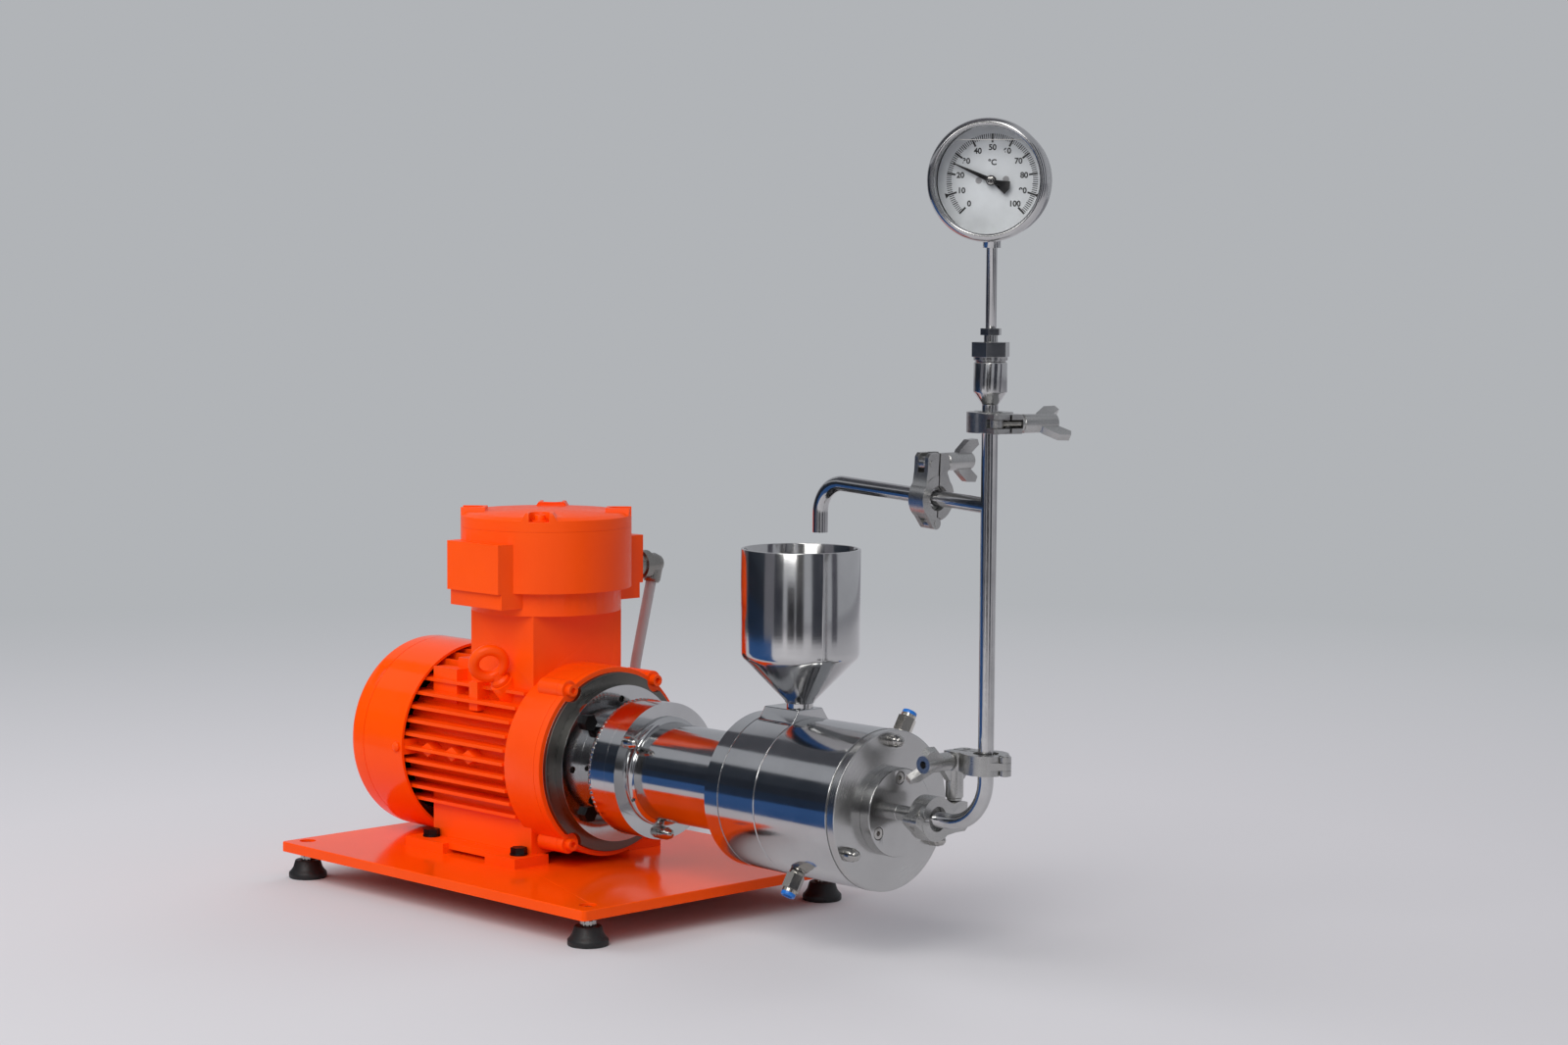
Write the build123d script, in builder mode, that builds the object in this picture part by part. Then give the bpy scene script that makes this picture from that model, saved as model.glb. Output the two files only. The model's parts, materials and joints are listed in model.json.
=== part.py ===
from build123d import *
import math
import os

os.makedirs("parts", exist_ok=True)

# A bench bead mill on a motor base plate, in millimetres.
# X runs along the shaft towards the outlet, Y away from the operator's side, Z up, feet on z = 0.
axis_z = 125.0
cowl_r = 90.2
cowl_lift = 0.8
shaft_height = cowl_r + cowl_lift
fit_gap = 0.05
seat_gap = 0.3

# base plate and levelling feet
plate_rear = -394.0
plate_front = 34.0
plate_half_width = 159.0
plate_thickness = 9.0
plate_top = axis_z - shaft_height
plate_bottom = plate_top - plate_thickness
foot_x = (-380.0, 16.0)
foot_y = 139.0
foot_stud_r = 4.0
foot_pad_r = 17.5
foot_pad_height = 16.5
foot_nut_height = 5.0
foot_stud_length = 16.0
foot_recess_r = 7.5
foot_recess = 4.0

# motor
frame_rear = -318.0
cowl_rear = frame_rear - 63.0
cowl_front = frame_rear + 16.5
cowl_seam = frame_rear - 41.0
cowl_wall = 2.5
cowl_screw_x = frame_rear + 9.0
fan_rear = frame_rear - 46.0
fan_disc = frame_rear - 20.0
shaft_rear = frame_rear - 32.0
drum_start = -165.0
frame_front = -120.0
shield_front = -112.5
flange_face = -108.5
core_r = 70.0
stator_r = 60.0
fin_r = 85.5
fin_pitch = 12.2
fin_thickness = 3.0
drum_r = 85.0
rim_r = 80.4
lug_r = 85.0
lug_boss_r = 8.5
lug_screw_r = 5.2
lug_angles = (54, 126, 234, 306)
shaft_front = -78.0
stator_rear = frame_rear + 38.0
stator_front = drum_start - 5.0
winding = 12.0
motor_shaft_r = 12.5
motor_bearing_r = 26.0
motor_bearing_width = 15.0
rotor_r = 40.0
motor_hole_x = (-283.0, -158.0)
motor_hole_y = 70.0
motor_foot_x = (-300.0, -143.0)
motor_foot_thickness = 9.0
neck_x = (-247.0, -159.0)
neck_half_width = 52.0
cowl_seat = cowl_r - cowl_wall - 0.6
eye_x = -197.0
eye_foot = 90.0
eye_ring = 111.0
eye_angle = math.radians(130)
eye_up = (0, math.cos(eye_angle), math.sin(eye_angle))

# terminal box
box_x = -203.0
box_floor = axis_z + 130
box_step = axis_z + 151
box_top = axis_z + 206
lid_top = box_top + 13
box_r = 77.5
box_low_r = 68.0
pad_half_width = 36.0
pad_reach = 86.0
pad_top = axis_z + 195
pad_step = 4.0
lid_bolt_r = 66.0
lid_angles = (45, 135, 225, 315)
lobe_half = 17.0
lobe_height = 17.0
lobe_depth = 24.0
recess_half = 9.0
recess_floor = 9.0
gland_z = axis_z + 163
gland_body_r = 9.9

# power cable
cable_r = 5.0
cable_lift = 0.3
coil_r = 55.0
coil_centre = (-378.0, 243.0)
gland_corner = (box_x, 132.5, gland_z)
gland_reach = 9.4
cable_corners = [
    (-203.0, 104.0, 175.0),
    (-212.0, 131.0, 110.0),
    (-243.0, 176.0, 60.0),
    (-296.0, 186.0, cable_r + cable_lift),
    (coil_centre[0] + 18, coil_centre[1] - coil_r - cable_r, cable_r + cable_lift),
]
plug_r = 22.0

# adapter, bearing housing and shaft line
adapter_flange_r = 70.0
adapter_flange_front = -99.0
adapter_hub_r = 49.0
adapter_ring_rear = -72.0
joint_x = -54.0
housing_face = -41.0
housing_r = 60.4
neck_r = 43.0
step_r = 48.2
step_length = 2.5
step_fillet = step_r - neck_r
housing_nut_r = 54.4
housing_nut_angles = (146, 266, 26)
mill_rear = 80.0
inlet_rear = 96.0
jacket_rear = 139.0
cover_rear = 223.0
cover_front = 232.0
outlet_face = 242.5
mill_r = 66.5
coupling_cavity_r = 40.0
leak_x = 68.0
leak_r = 3.5
leak_angle = math.radians(34)
mill_shaft_r = 15.0
mill_bearing_r = 31.0
mill_bearing_width = 16.0
mill_bearing_x = (-35.0, 32.0)
chamber_r = 50.0
liner_r = 55.0
jacket_inner_r = 60.5
nut_circle_r = 58.5
front_angles = (90, 210, 330)
flange_bolt_circle_r = 57.5
flange_bolt_angles = (45, 135, 225, 315)
outlet_plate_r = 36.5
outlet_screw_circle_r = 28.5

# hopper
hopper_x = 126.0
hopper_r = 50.1
hopper_wall = 2.5
hopper_rim = axis_z + 208
hopper_shoulder = axis_z + 117
hopper_neck_r = 12.7
hopper_neck_top = axis_z + 79
block_top = axis_z + 74
block_half_top = 14.0
block_half_bottom = 21.5
feed_bore_r = 8.0

# coolant fittings: place along the jacket and angle round it
fitting_places = ((209.0, 58.0), (160.0, 238.0))
fitting_bore_r = 4.05

# half inch product pipe and mini clamp ferrules
pipe_r = 6.35
pipe_bore_r = 5.15
bend_r = 38.0
spout_bend_r = 25.4
ferrule_r = 12.6
gasket_half = 0.6
ferrule_rim = 1.4
ferrule_slope = math.tan(math.radians(20))
outlet_clamp_x = 276.7
riser_x = 335.5
riser_clamp_z = axis_z + 51.5
top_clamp_z = axis_z + 322.0
arm_z = axis_z + 255.8
arm_rise = 3.2
arm_clamp_reach = 62.0
spout_reach = 187.0
spout_end = axis_z + 223

# thermometer
socket_cone = axis_z + 335.7
socket_shoulder = axis_z + 345.7
socket_top = axis_z + 369.5
socket_r = 13.2
nut_bottom = axis_z + 373.3
nut_top = axis_z + 384.8
small_nut_bottom = axis_z + 390.2
small_nut_top = axis_z + 395.5
stem_top = axis_z + 458.2
gauge_z = axis_z + 510.5
gauge_r = 48.0
gauge_heading = -59.6
case_back = -14.0
case_front = 17.0
dial_back = case_back + 14.0
dial_face = dial_back + 2.0
dial_r = 43.5
rest_temperature = 25.5
dial_sweep = 270.0

# clamp: ear direction is the clamp's own x, bolt direction its own y, pipe its own z
jaw_r = 18.3
jaw_half = 8.0
lip_r = 10.2
groove_r = 13.2
hinge_x = -20.5
knuckle_r = 4.8
knuckle_half = 3.0
pivot_x = 28.0
pivot_y = -8.5
ear_tip = 36.0
seat_r = 20.0
bolt_r = 3.0
bolt_length = 46.0
pin_r = 2.0
nut_r = 7.4
nut_length = 31.0


def across(x):
    return Plane(origin=(x, 0, axis_z), x_dir=(0, 1, 0), z_dir=(1, 0, 0))


def crosswise(y):
    return Plane(origin=(0, y, axis_z), x_dir=(1, 0, 0), z_dir=(0, -1, 0))


def rod(plane, radius, length, mode=Mode.ADD, at=(0, 0)):
    with BuildSketch(plane) as face:
        with Locations(at):
            Circle(radius)
    extrude(face.sketch, amount=length, mode=mode)


def hexagon(plane, flats, length, mode=Mode.ADD, at=(0, 0)):
    with BuildSketch(plane) as face:
        with Locations(at):
            RegularPolygon(flats / 2, 6, major_radius=False)
    extrude(face.sketch, amount=length, mode=mode)


def turned(origin, along, points, mode=Mode.ADD):
    side = Vector(along).cross(Vector(0, 0, 1))
    if side.length < 0.1:
        side = Vector(1, 0, 0)
    with BuildSketch(Plane(origin=origin, x_dir=along, z_dir=side)) as face:
        with BuildLine():
            Polyline(*points, close=True)
        make_face()
    revolve(face.sketch, axis=Axis(origin, along), mode=mode)


def shaft_turned(points, mode=Mode.ADD):
    turned((0, 0, axis_z), (1, 0, 0), points, mode)


def tube(x0, x1, outer, inner):
    shaft_turned([(x0, inner), (x1, inner), (x1, outer), (x0, outer)])


def ring_groove(x, radius, depth):
    # a fine turned line, 0.8 mm wide
    line = [(x - 0.4, radius + 1), (x + 0.4, radius + 1)]
    line += [(x + 0.4, radius - depth), (x - 0.4, radius - depth)]
    shaft_turned(line, Mode.SUBTRACT)


def block(x, y, z, mode=Mode.ADD):
    with BuildSketch(Plane.XY.offset(z[0])) as face:
        with Locations(((x[0] + x[1]) / 2, (y[0] + y[1]) / 2)):
            Rectangle(x[1] - x[0], y[1] - y[0])
    extrude(face.sketch, amount=z[1] - z[0], mode=mode)


def polar(radius, degrees):
    return (radius * math.cos(math.radians(degrees)), radius * math.sin(math.radians(degrees)))


def swept(points, radii, outer, inner=0.0):
    with BuildLine() as path:
        if radii:
            FilletPolyline(*points, radius=radii)
        else:
            Polyline(*points)
    route = path.wire()
    with BuildSketch(Plane(origin=route @ 0, z_dir=route % 0)) as section:
        Circle(outer)
        if inner:
            Circle(inner, mode=Mode.SUBTRACT)
    sweep(section.sketch, path=route)
    return route.length


def place(frame, x, y, z):
    return frame.from_local_coords(Vector(x, y, z))


# base plate
with BuildPart() as base_plate:
    with BuildSketch(Plane.XY.offset(plate_bottom)):
        with Locations(((plate_rear + plate_front) / 2, 0)):
            RectangleRounded(plate_front - plate_rear, 2 * plate_half_width, 4)
    extrude(amount=plate_thickness)
    for x in foot_x:
        for y in (-foot_y, foot_y):
            rod(Plane.XY.offset(plate_bottom), foot_stud_r + fit_gap, plate_thickness, Mode.SUBTRACT, (x, y))
            rod(Plane.XY.offset(plate_top), foot_recess_r, -foot_recess, Mode.SUBTRACT, (x, y))
    for x in motor_hole_x:
        for y in (-motor_hole_y, motor_hole_y):
            rod(Plane.XY.offset(plate_bottom), 4, plate_thickness, Mode.SUBTRACT, (x, y))
    chamfer(base_plate.faces().sort_by(Axis.Z)[-1].outer_wire().edges(), 0.6)
base_plate.part.label = "base_plate"
export_step(base_plate.part, "parts/base_plate.step")

# levelling feet: pad, lock nut and stud
for i, x in enumerate(foot_x):
    for j, y in enumerate((-foot_y, foot_y)):
        label = ("rear", "front")[i] + "_" + ("near", "far")[j] + "_foot"
        with BuildPart() as foot:
            pad = [(0, 0), (0, foot_pad_r), (5, foot_pad_r), (7, foot_pad_r - 2), (10, foot_pad_r - 4)]
            pad += [(foot_pad_height, foot_pad_r - 6), (foot_pad_height, 0)]
            turned((x, y, 0), (0, 0, 1), pad)
            hexagon(Plane.XY.offset(foot_pad_height), 12, foot_nut_height, at=(x, y))
            rod(Plane.XY.offset(foot_pad_height), foot_stud_r, foot_stud_length, at=(x, y))
        foot.part.label = label
        export_step(foot.part, "parts/" + label + ".step")

# motor frame: finned core, drum, feet, rear wall and terminal box neck
with BuildPart() as motor_frame:
    rod(across(frame_rear), core_r, frame_front - frame_rear)
    drum = [(drum_start, 0), (drum_start, drum_r - 5), (drum_start + 5, drum_r)]
    drum += [(frame_front, drum_r), (frame_front, 0)]
    shaft_turned(drum)
    for k in range(-4, 6):
        half = math.sqrt(fin_r**2 - (fin_pitch * k) ** 2)
        z = axis_z + fin_pitch * k
        block((frame_rear, drum_start + 2), (-half, half), (z - fin_thickness / 2, z + fin_thickness / 2))
    for k in range(-3, 4):
        y = 12.0 * k
        top = axis_z + math.sqrt(fin_r**2 - y**2)
        block((frame_rear, neck_x[0] + 2), (y - 1.5, y + 1.5), (axis_z, top))
        block((frame_rear, drum_start + 2), (y - 1.5, y + 1.5), (2 * axis_z - top, axis_z))
    for y in (-83.0, 83.0):
        for x in (-275.0, -240.0, -216.0):
            with BuildSketch(crosswise(y + 2)) as diamond:
                with BuildLine():
                    Polyline((x - 11, 0), (x, 6.5), (x + 11, 0), (x, -6.5), close=True)
                make_face()
            extrude(diamond.sketch, amount=16 if y > 0 else -16)
    for angle in lug_angles:
        rod(across(frame_front), lug_boss_r, -26, at=polar(lug_r, angle))
    block((-296, -262), (-57, -42), (axis_z + 40, axis_z + 73))
    block((-276, -252), (-44, -28), (axis_z + 50, axis_z + 82))
    block((-233, -221), (-66, -50), (axis_z + 40, axis_z + 66))
    for side in (-1, 1):
        inner = sorted((side * 48, side * 87))
        block(motor_foot_x, inner, (plate_top, plate_top + motor_foot_thickness))
        block((-245, -185), sorted((side * 66, side * 90)), (plate_top, plate_top + 3.5), Mode.SUBTRACT)
        block((-245, -185), sorted((side * 80, side * 90)), (plate_top, plate_top + 12), Mode.SUBTRACT)
        block((-290, -150), sorted((side * 36, side * 62)), (plate_top + motor_foot_thickness, axis_z - 36))
        for x in motor_hole_x:
            hole = (x, side * motor_hole_y)
            rod(Plane.XY.offset(plate_top), 4.5, motor_foot_thickness, Mode.SUBTRACT, hole)
    block(neck_x, (-neck_half_width, neck_half_width), (axis_z + 30, box_floor))
    eye_axis = Plane(origin=(eye_x, 0, axis_z), x_dir=(1, 0, 0), z_dir=eye_up)
    rod(eye_axis.offset(stator_r), 11, eye_foot - stator_r)
    for y in (-cowl_seat, cowl_seat):
        block((frame_rear + 2, frame_rear + 16), sorted((y, y * 0.75)), (axis_z - 7, axis_z + 7))
    block((frame_rear + 2, frame_rear + 16), (-7, 7), (axis_z + 60, axis_z + cowl_seat))
    rear_wall = frame_rear + motor_bearing_width + 2
    rod(across(rear_wall), stator_r, frame_front - rear_wall, Mode.SUBTRACT)
    tube(frame_rear, rear_wall + 2, motor_bearing_r + 10, 20)
    rod(across(frame_rear), motor_bearing_r, motor_bearing_width + 1, Mode.SUBTRACT)
    rod(across(frame_rear), 20, 20, Mode.SUBTRACT)
    block((box_x - 30, box_x + 30), (-36, 36), (axis_z + 45, box_floor), Mode.SUBTRACT)
motor_frame.part.label = "motor_frame"
export_step(motor_frame.part, "parts/motor_frame.step")

# drive end shield with the mounting face and its spigot
with BuildPart() as drive_end_shield:
    rod(across(frame_front), drum_r, shield_front - frame_front)
    for angle in lug_angles:
        rod(across(frame_front), lug_boss_r, shield_front - frame_front, at=polar(lug_r, angle))
    shaft_turned([(shield_front, 0), (shield_front, rim_r), (flange_face, rim_r), (flange_face, 0)])
    for angle in lug_angles:
        spot = polar(lug_r, angle)
        rod(across(shield_front), lug_boss_r + 2, flange_face - shield_front, Mode.SUBTRACT, spot)
    rod(across(frame_front), stator_r - fit_gap, -8)
    rod(across(flange_face), 47.5, 3)
    rod(across(frame_front - 8), motor_bearing_r, motor_bearing_width, Mode.SUBTRACT)
    rod(across(frame_front), motor_shaft_r + 0.5, 20, Mode.SUBTRACT)
    for angle in flange_bolt_angles:
        rod(across(flange_face), 4, -11, Mode.SUBTRACT, polar(flange_bolt_circle_r, angle))
drive_end_shield.part.label = "drive_end_shield"
export_step(drive_end_shield.part, "parts/drive_end_shield.step")

# fan cowl with an air grille in its rear wall
with BuildPart() as fan_cowl:
    rim = 8.0
    with BuildSketch(crosswise(0)) as cowl_profile:
        with BuildLine():
            Line((cowl_rear, 0), (cowl_rear, cowl_r - rim))
            RadiusArc((cowl_rear, cowl_r - rim), (cowl_rear + rim, cowl_r), rim)
            Line((cowl_rear + rim, cowl_r), (cowl_front, cowl_r))
            Line((cowl_front, cowl_r), (cowl_front, cowl_r - cowl_wall))
            Line((cowl_front, cowl_r - cowl_wall), (cowl_rear + rim, cowl_r - cowl_wall))
            Line((cowl_rear + rim, cowl_r - cowl_wall), (cowl_rear + 3, cowl_r - rim))
            Line((cowl_rear + 3, cowl_r - rim), (cowl_rear + 3, 0))
            Line((cowl_rear + 3, 0), (cowl_rear, 0))
        make_face()
    revolve(cowl_profile.sketch, axis=Axis((0, 0, axis_z), (1, 0, 0)))
    for row_r, count in ((26, 10), (44, 16), (62, 22)):
        with BuildSketch(across(cowl_rear - 1)) as slots:
            with PolarLocations(row_r, count):
                SlotOverall(13, 5)
        extrude(slots.sketch, amount=5, mode=Mode.SUBTRACT)
    for side in (-1, 1):
        sideways = Plane(origin=(cowl_screw_x, 0, axis_z), x_dir=(1, 0, 0), z_dir=(0, side, 0))
        rod(sideways, 2.6, 100, Mode.SUBTRACT)
    ring_groove(cowl_seam, cowl_r, 0.5)
fan_cowl.part.label = "fan_cowl"
export_step(fan_cowl.part, "parts/fan_cowl.step")

# lifting eye on the operator's side
with BuildPart() as lifting_eye:
    base = Vector(eye_x, 0, axis_z) + Vector(*eye_up) * eye_foot
    ring = Vector(eye_x, 0, axis_z) + Vector(*eye_up) * eye_ring
    turned(base, eye_up, [(0, 0), (0, 7.5), (3, 7.5), (5, 5.5), (9, 4.8), (9, 0)])
    ring_plane = Plane(origin=ring, x_dir=eye_up, z_dir=(0.8, -0.6 * eye_up[2], 0.6 * eye_up[1]))
    with BuildSketch(Plane(origin=ring, x_dir=ring_plane.x_dir, z_dir=ring_plane.y_dir)) as eye_section:
        with Locations((-11.8, 0)):
            Circle(4.2)
    revolve(eye_section.sketch, axis=Axis(ring, ring_plane.z_dir))
lifting_eye.part.label = "lifting_eye"
export_step(lifting_eye.part, "parts/lifting_eye.step")

# terminal box
with BuildPart() as terminal_box:
    rod(Plane.XY.offset(box_floor), box_low_r, box_top - box_floor, at=(box_x, 0))
    rod(Plane.XY.offset(box_step), box_r, box_top - box_step, at=(box_x, 0))
    side = (box_x - pad_half_width, box_x + pad_half_width)
    block(side, (-pad_reach, pad_reach), (box_step, pad_top))
    block(side, (-pad_reach + pad_step, pad_reach - pad_step), (box_floor + 7, box_step))
    rod(Plane.XY.offset(box_floor + 6), box_low_r - 5, box_top - box_floor, Mode.SUBTRACT, (box_x, 0))
    block((box_x - 30, box_x + 30), (-36, 36), (box_floor - 1, box_floor + 8), Mode.SUBTRACT)
    with BuildSketch(crosswise(0)) as gland_hole:
        with Locations((box_x, gland_z - axis_z)):
            Circle(gland_body_r)
    extrude(gland_hole.sketch, amount=-100, mode=Mode.SUBTRACT)
    for angle in lid_angles:
        dx, dy = polar(lid_bolt_r, angle)
        rod(Plane.XY.offset(box_top), 6, -22, at=(box_x + dx, dy))
        rod(Plane.XY.offset(box_top), 2.5, -20, Mode.SUBTRACT, (box_x + dx, dy))
terminal_box.part.label = "terminal_box"
export_step(terminal_box.part, "parts/terminal_box.step")

with BuildPart() as terminal_box_lid:
    turned((box_x, 0, box_top), (0, 0, 1), [(0, 0), (0, box_r), (10, box_r), (13, box_r - 5), (15, 0)])
    for angle in lid_angles:
        spot = polar(lid_bolt_r, angle)
        here = (box_x + spot[0], spot[1])
        inward = (*polar(-1, angle), 0)
        sideways = (-inward[1], inward[0], 0)
        lobe_plane = Plane(origin=(box_x, 0, box_top), x_dir=sideways, z_dir=inward).offset(-box_r - 1)
        with BuildSketch(lobe_plane) as lobe:
            with BuildLine():
                right = [(lobe_half, 0), (lobe_half, recess_floor), (lobe_half - 5, lobe_height)]
                left = [(5 - lobe_half, lobe_height), (-lobe_half, recess_floor), (-lobe_half, 0)]
                Polyline(*right, *left, close=True)
            make_face()
        extrude(lobe.sketch, amount=lobe_depth)
        with BuildSketch(lobe_plane) as recess:
            with Locations((0, recess_floor + lobe_height / 2)):
                Rectangle(2 * recess_half, lobe_height)
        extrude(recess.sketch, amount=box_r + 1 - lid_bolt_r, mode=Mode.SUBTRACT)
        rod(Plane.XY.offset(box_top + recess_floor), recess_half, lobe_height, Mode.SUBTRACT, here)
        rod(Plane.XY.offset(box_top), 3, recess_floor, Mode.SUBTRACT, here)
    outside = [(-1, box_r), (-1, box_r + 20), (30, box_r + 20), (30, box_r)]
    turned((box_x, 0, box_top), (0, 0, 1), outside, Mode.SUBTRACT)
terminal_box_lid.part.label = "terminal_box_lid"
export_step(terminal_box_lid.part, "parts/terminal_box_lid.step")

# painted screws of the motor: lid, end shield and cowl
with BuildPart() as motor_screws:
    seat = Plane.XY.offset(box_top + recess_floor)
    for angle in lid_angles:
        spot = polar(lid_bolt_r, angle)
        here = (box_x + spot[0], spot[1])
        rod(seat, 7.5, 1.2, at=here)
        rod(seat, 4.8, 6, at=here)
        rod(seat, 2.5, -28, at=here)
        hexagon(seat.offset(3), 5, 4, Mode.SUBTRACT, here)
    for angle in lug_angles:
        spot = polar(lug_r, angle)
        rod(across(shield_front), lug_screw_r, 6, at=spot)
        hexagon(across(shield_front + 3), 5, 4, Mode.SUBTRACT, spot)
    for side in (-1, 1):
        screw = [(cowl_seat, 0), (cowl_seat, 2.5), (cowl_r, 2.5), (cowl_r, 4.5), (cowl_r + 1.5, 4.5)]
        screw += [(cowl_r + 3, 2.5), (cowl_r + 3, 0)]
        turned((cowl_screw_x, 0, axis_z), (0, side, 0), screw)
motor_screws.part.label = "motor_screws"
export_step(motor_screws.part, "parts/motor_screws.step")

# black hexagon bolts: motor feet and adapter flange
with BuildPart() as hex_bolts:
    for x in motor_hole_x:
        for y in (-motor_hole_y, motor_hole_y):
            washer = Plane.XY.offset(plate_top + motor_foot_thickness)
            rod(washer, 8, 1.6, at=(x, y))
            hexagon(washer.offset(1.6), 13, 5.3, at=(x, y))
            rod(Plane.XY.offset(plate_bottom), 4, plate_thickness + 12, at=(x, y))
    for angle in flange_bolt_angles:
        spot = polar(flange_bolt_circle_r, angle)
        hexagon(across(adapter_flange_front), 13, 5.3, at=spot)
        rod(across(flange_face - 10), 4, adapter_flange_front - flange_face + 14, at=spot)
hex_bolts.part.label = "hex_bolts"
export_step(hex_bolts.part, "parts/hex_bolts.step")

# stator: laminated core with its winding heads
with BuildPart() as stator_core:
    air_gap = rotor_r + 0.8
    inner = [(stator_rear - winding, 46), (stator_rear - 2, 43), (stator_rear, air_gap)]
    inner += [(stator_front, air_gap), (stator_front + 2, 43), (stator_front + winding, 46)]
    outer = [(stator_front + winding, 56), (stator_front + 2, 57), (stator_front, stator_r)]
    outer += [(stator_rear, stator_r), (stator_rear - 2, 57), (stator_rear - winding, 56)]
    shaft_turned(inner + outer)
stator_core.part.label = "stator_core"
export_step(stator_core.part, "parts/stator_core.step")

# rotor with the motor shaft
with BuildPart() as motor_rotor:
    rod(across(shaft_rear), motor_shaft_r, shaft_front - shaft_rear)
    rod(across(stator_rear), rotor_r, stator_front - stator_rear)
    tube(stator_rear - 10, stator_rear, 34, 20)
    tube(stator_front, stator_front + 10, 34, 20)
motor_rotor.part.label = "motor_rotor"
export_step(motor_rotor.part, "parts/motor_rotor.step")

with BuildPart() as cooling_fan:
    tube(shaft_rear, shaft_rear + 16, 19, motor_shaft_r)
    tube(fan_disc, fan_disc + 3, 72, motor_shaft_r)
    for k in range(8):
        angle = 45 * k
        middle = polar(45, angle)
        with BuildSketch(across(fan_rear)) as blade:
            with Locations(Location((middle[0], middle[1], 0), (0, 0, angle))):
                Rectangle(54, 3)
        extrude(blade.sketch, amount=fan_disc - fan_rear + 1)
    rod(across(fan_rear - 1), 18.5, shaft_rear - fan_rear + 1, Mode.SUBTRACT)
cooling_fan.part.label = "cooling_fan"
export_step(cooling_fan.part, "parts/cooling_fan.step")

# ball bearings of the motor and of the mill shaft
with BuildPart() as bearings:
    seats = [(frame_rear, motor_bearing_width, motor_shaft_r, motor_bearing_r)]
    seats.append((frame_front - 8, motor_bearing_width, motor_shaft_r, motor_bearing_r))
    for x in mill_bearing_x:
        seats.append((x, mill_bearing_width, mill_shaft_r, mill_bearing_r))
    for x, width, bore, outer in seats:
        tube(x, x + width, outer, bore + fit_gap)
        third = (outer - bore) / 3
        for end, depth in ((x, 1.5), (x + width, -1.5)):
            low = bore + third
            high = outer - third
            shaft_turned([(end, low), (end + depth, low), (end + depth, high), (end, high)], Mode.SUBTRACT)
bearings.part.label = "bearings"
export_step(bearings.part, "parts/bearings.step")

# cable gland: straight body, ring and a turned-down outlet
with BuildPart() as cable_gland:
    gland = (box_x, pad_reach - 14, gland_z)
    barrel = [(0, 6), (0, gland_body_r), (14, gland_body_r), (14, 11.4), (42, 11.4), (42, 13.4)]
    barrel += [(50, 13.4), (50, 6)]
    turned(gland, (0, 1, 0), barrel)
    turned(gland, (0, 1, 0), [(46, 0), (46, 10), (60, 10), (66, 7.5), (68, 0)])
    down = (Vector(*cable_corners[0]) - Vector(*gland_corner)).normalized()
    turned(gland_corner, down, [(0, 0), (0, 8.5), (15, 8.5), (17.5, 7), (17.5, 0)])
    cable_way = [(gland_reach, 0), (gland_reach, cable_r), (18, cable_r), (18, 0)]
    turned(gland_corner, down, cable_way, Mode.SUBTRACT)
cable_gland.part.label = "cable_gland"
export_step(cable_gland.part, "parts/cable_gland.step")

# power cable: straight runs joined by tangent arcs
cable_start = Vector(*gland_corner) + down * gland_reach
corners = [cable_start] + [Vector(*p) for p in cable_corners]
runs = [(b - a).length for a, b in zip(corners, corners[1:])]
cable_radii = []
for k in range(1, len(corners) - 1):
    turn = (corners[k] - corners[k - 1]).get_angle(corners[k + 1] - corners[k])
    cable_radii.append(0.45 * min(runs[k - 1], runs[k]) / math.tan(math.radians(turn / 2)))
print("cable bend radii", [round(r, 1) for r in cable_radii], "runs", [round(r, 1) for r in runs])

with BuildPart() as power_cable:
    cable_length = swept(corners, cable_radii, cable_r)
print("cable volume", power_cable.part.volume, "from length", math.pi * cable_r**2 * cable_length)
power_cable.part.label = "power_cable"
export_step(power_cable.part, "parts/power_cable.step")

with BuildPart() as cable_coil:
    with BuildSketch(Plane(origin=(*coil_centre, 0), x_dir=(1, 0, 0), z_dir=(0, -1, 0))) as turns:
        with Locations((coil_r, 2 * cable_r + cable_lift)):
            RectangleRounded(4 * cable_r, 4 * cable_r, cable_r - 0.1)
    revolve(turns.sketch, axis=Axis((*coil_centre, 0), (0, 0, 1)))
cable_coil.part.label = "cable_coil"
export_step(cable_coil.part, "parts/cable_coil.step")

# plug on the floor beside the coil, with the tail that leaves the coil's top turn
with BuildPart() as cable_plug:
    tail_y = coil_centre[1] - coil_r - cable_r
    plug_back = coil_centre[0] - 46
    plug_z = plug_r + cable_lift
    upper_turn = 3 * cable_r + cable_lift
    tail = [(plug_back + 40, tail_y, upper_turn), (plug_back + 22, tail_y, upper_turn)]
    tail.append((plug_back - 2, tail_y, plug_z))
    swept(tail, [60], cable_r)
    body = [(0, 0), (0, 6.5), (10, 8), (18, 17), (44, 19), (46, plug_r), (88, plug_r)]
    body += [(88, plug_r - 3), (60, plug_r - 3), (60, 0)]
    turned((plug_back, tail_y, plug_z), (-1, 0, 0), body)
    for angle in (0, 90, 180, 270):
        dy, dz = polar(11, angle)
        contact = [(0, 0), (0, 2.5), (27, 2.5), (28, 0)]
        turned((plug_back - 58, tail_y + dy, plug_z + dz), (-1, 0, 0), contact)
cable_plug.part.label = "cable_plug"
export_step(cable_plug.part, "parts/cable_plug.step")

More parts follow.
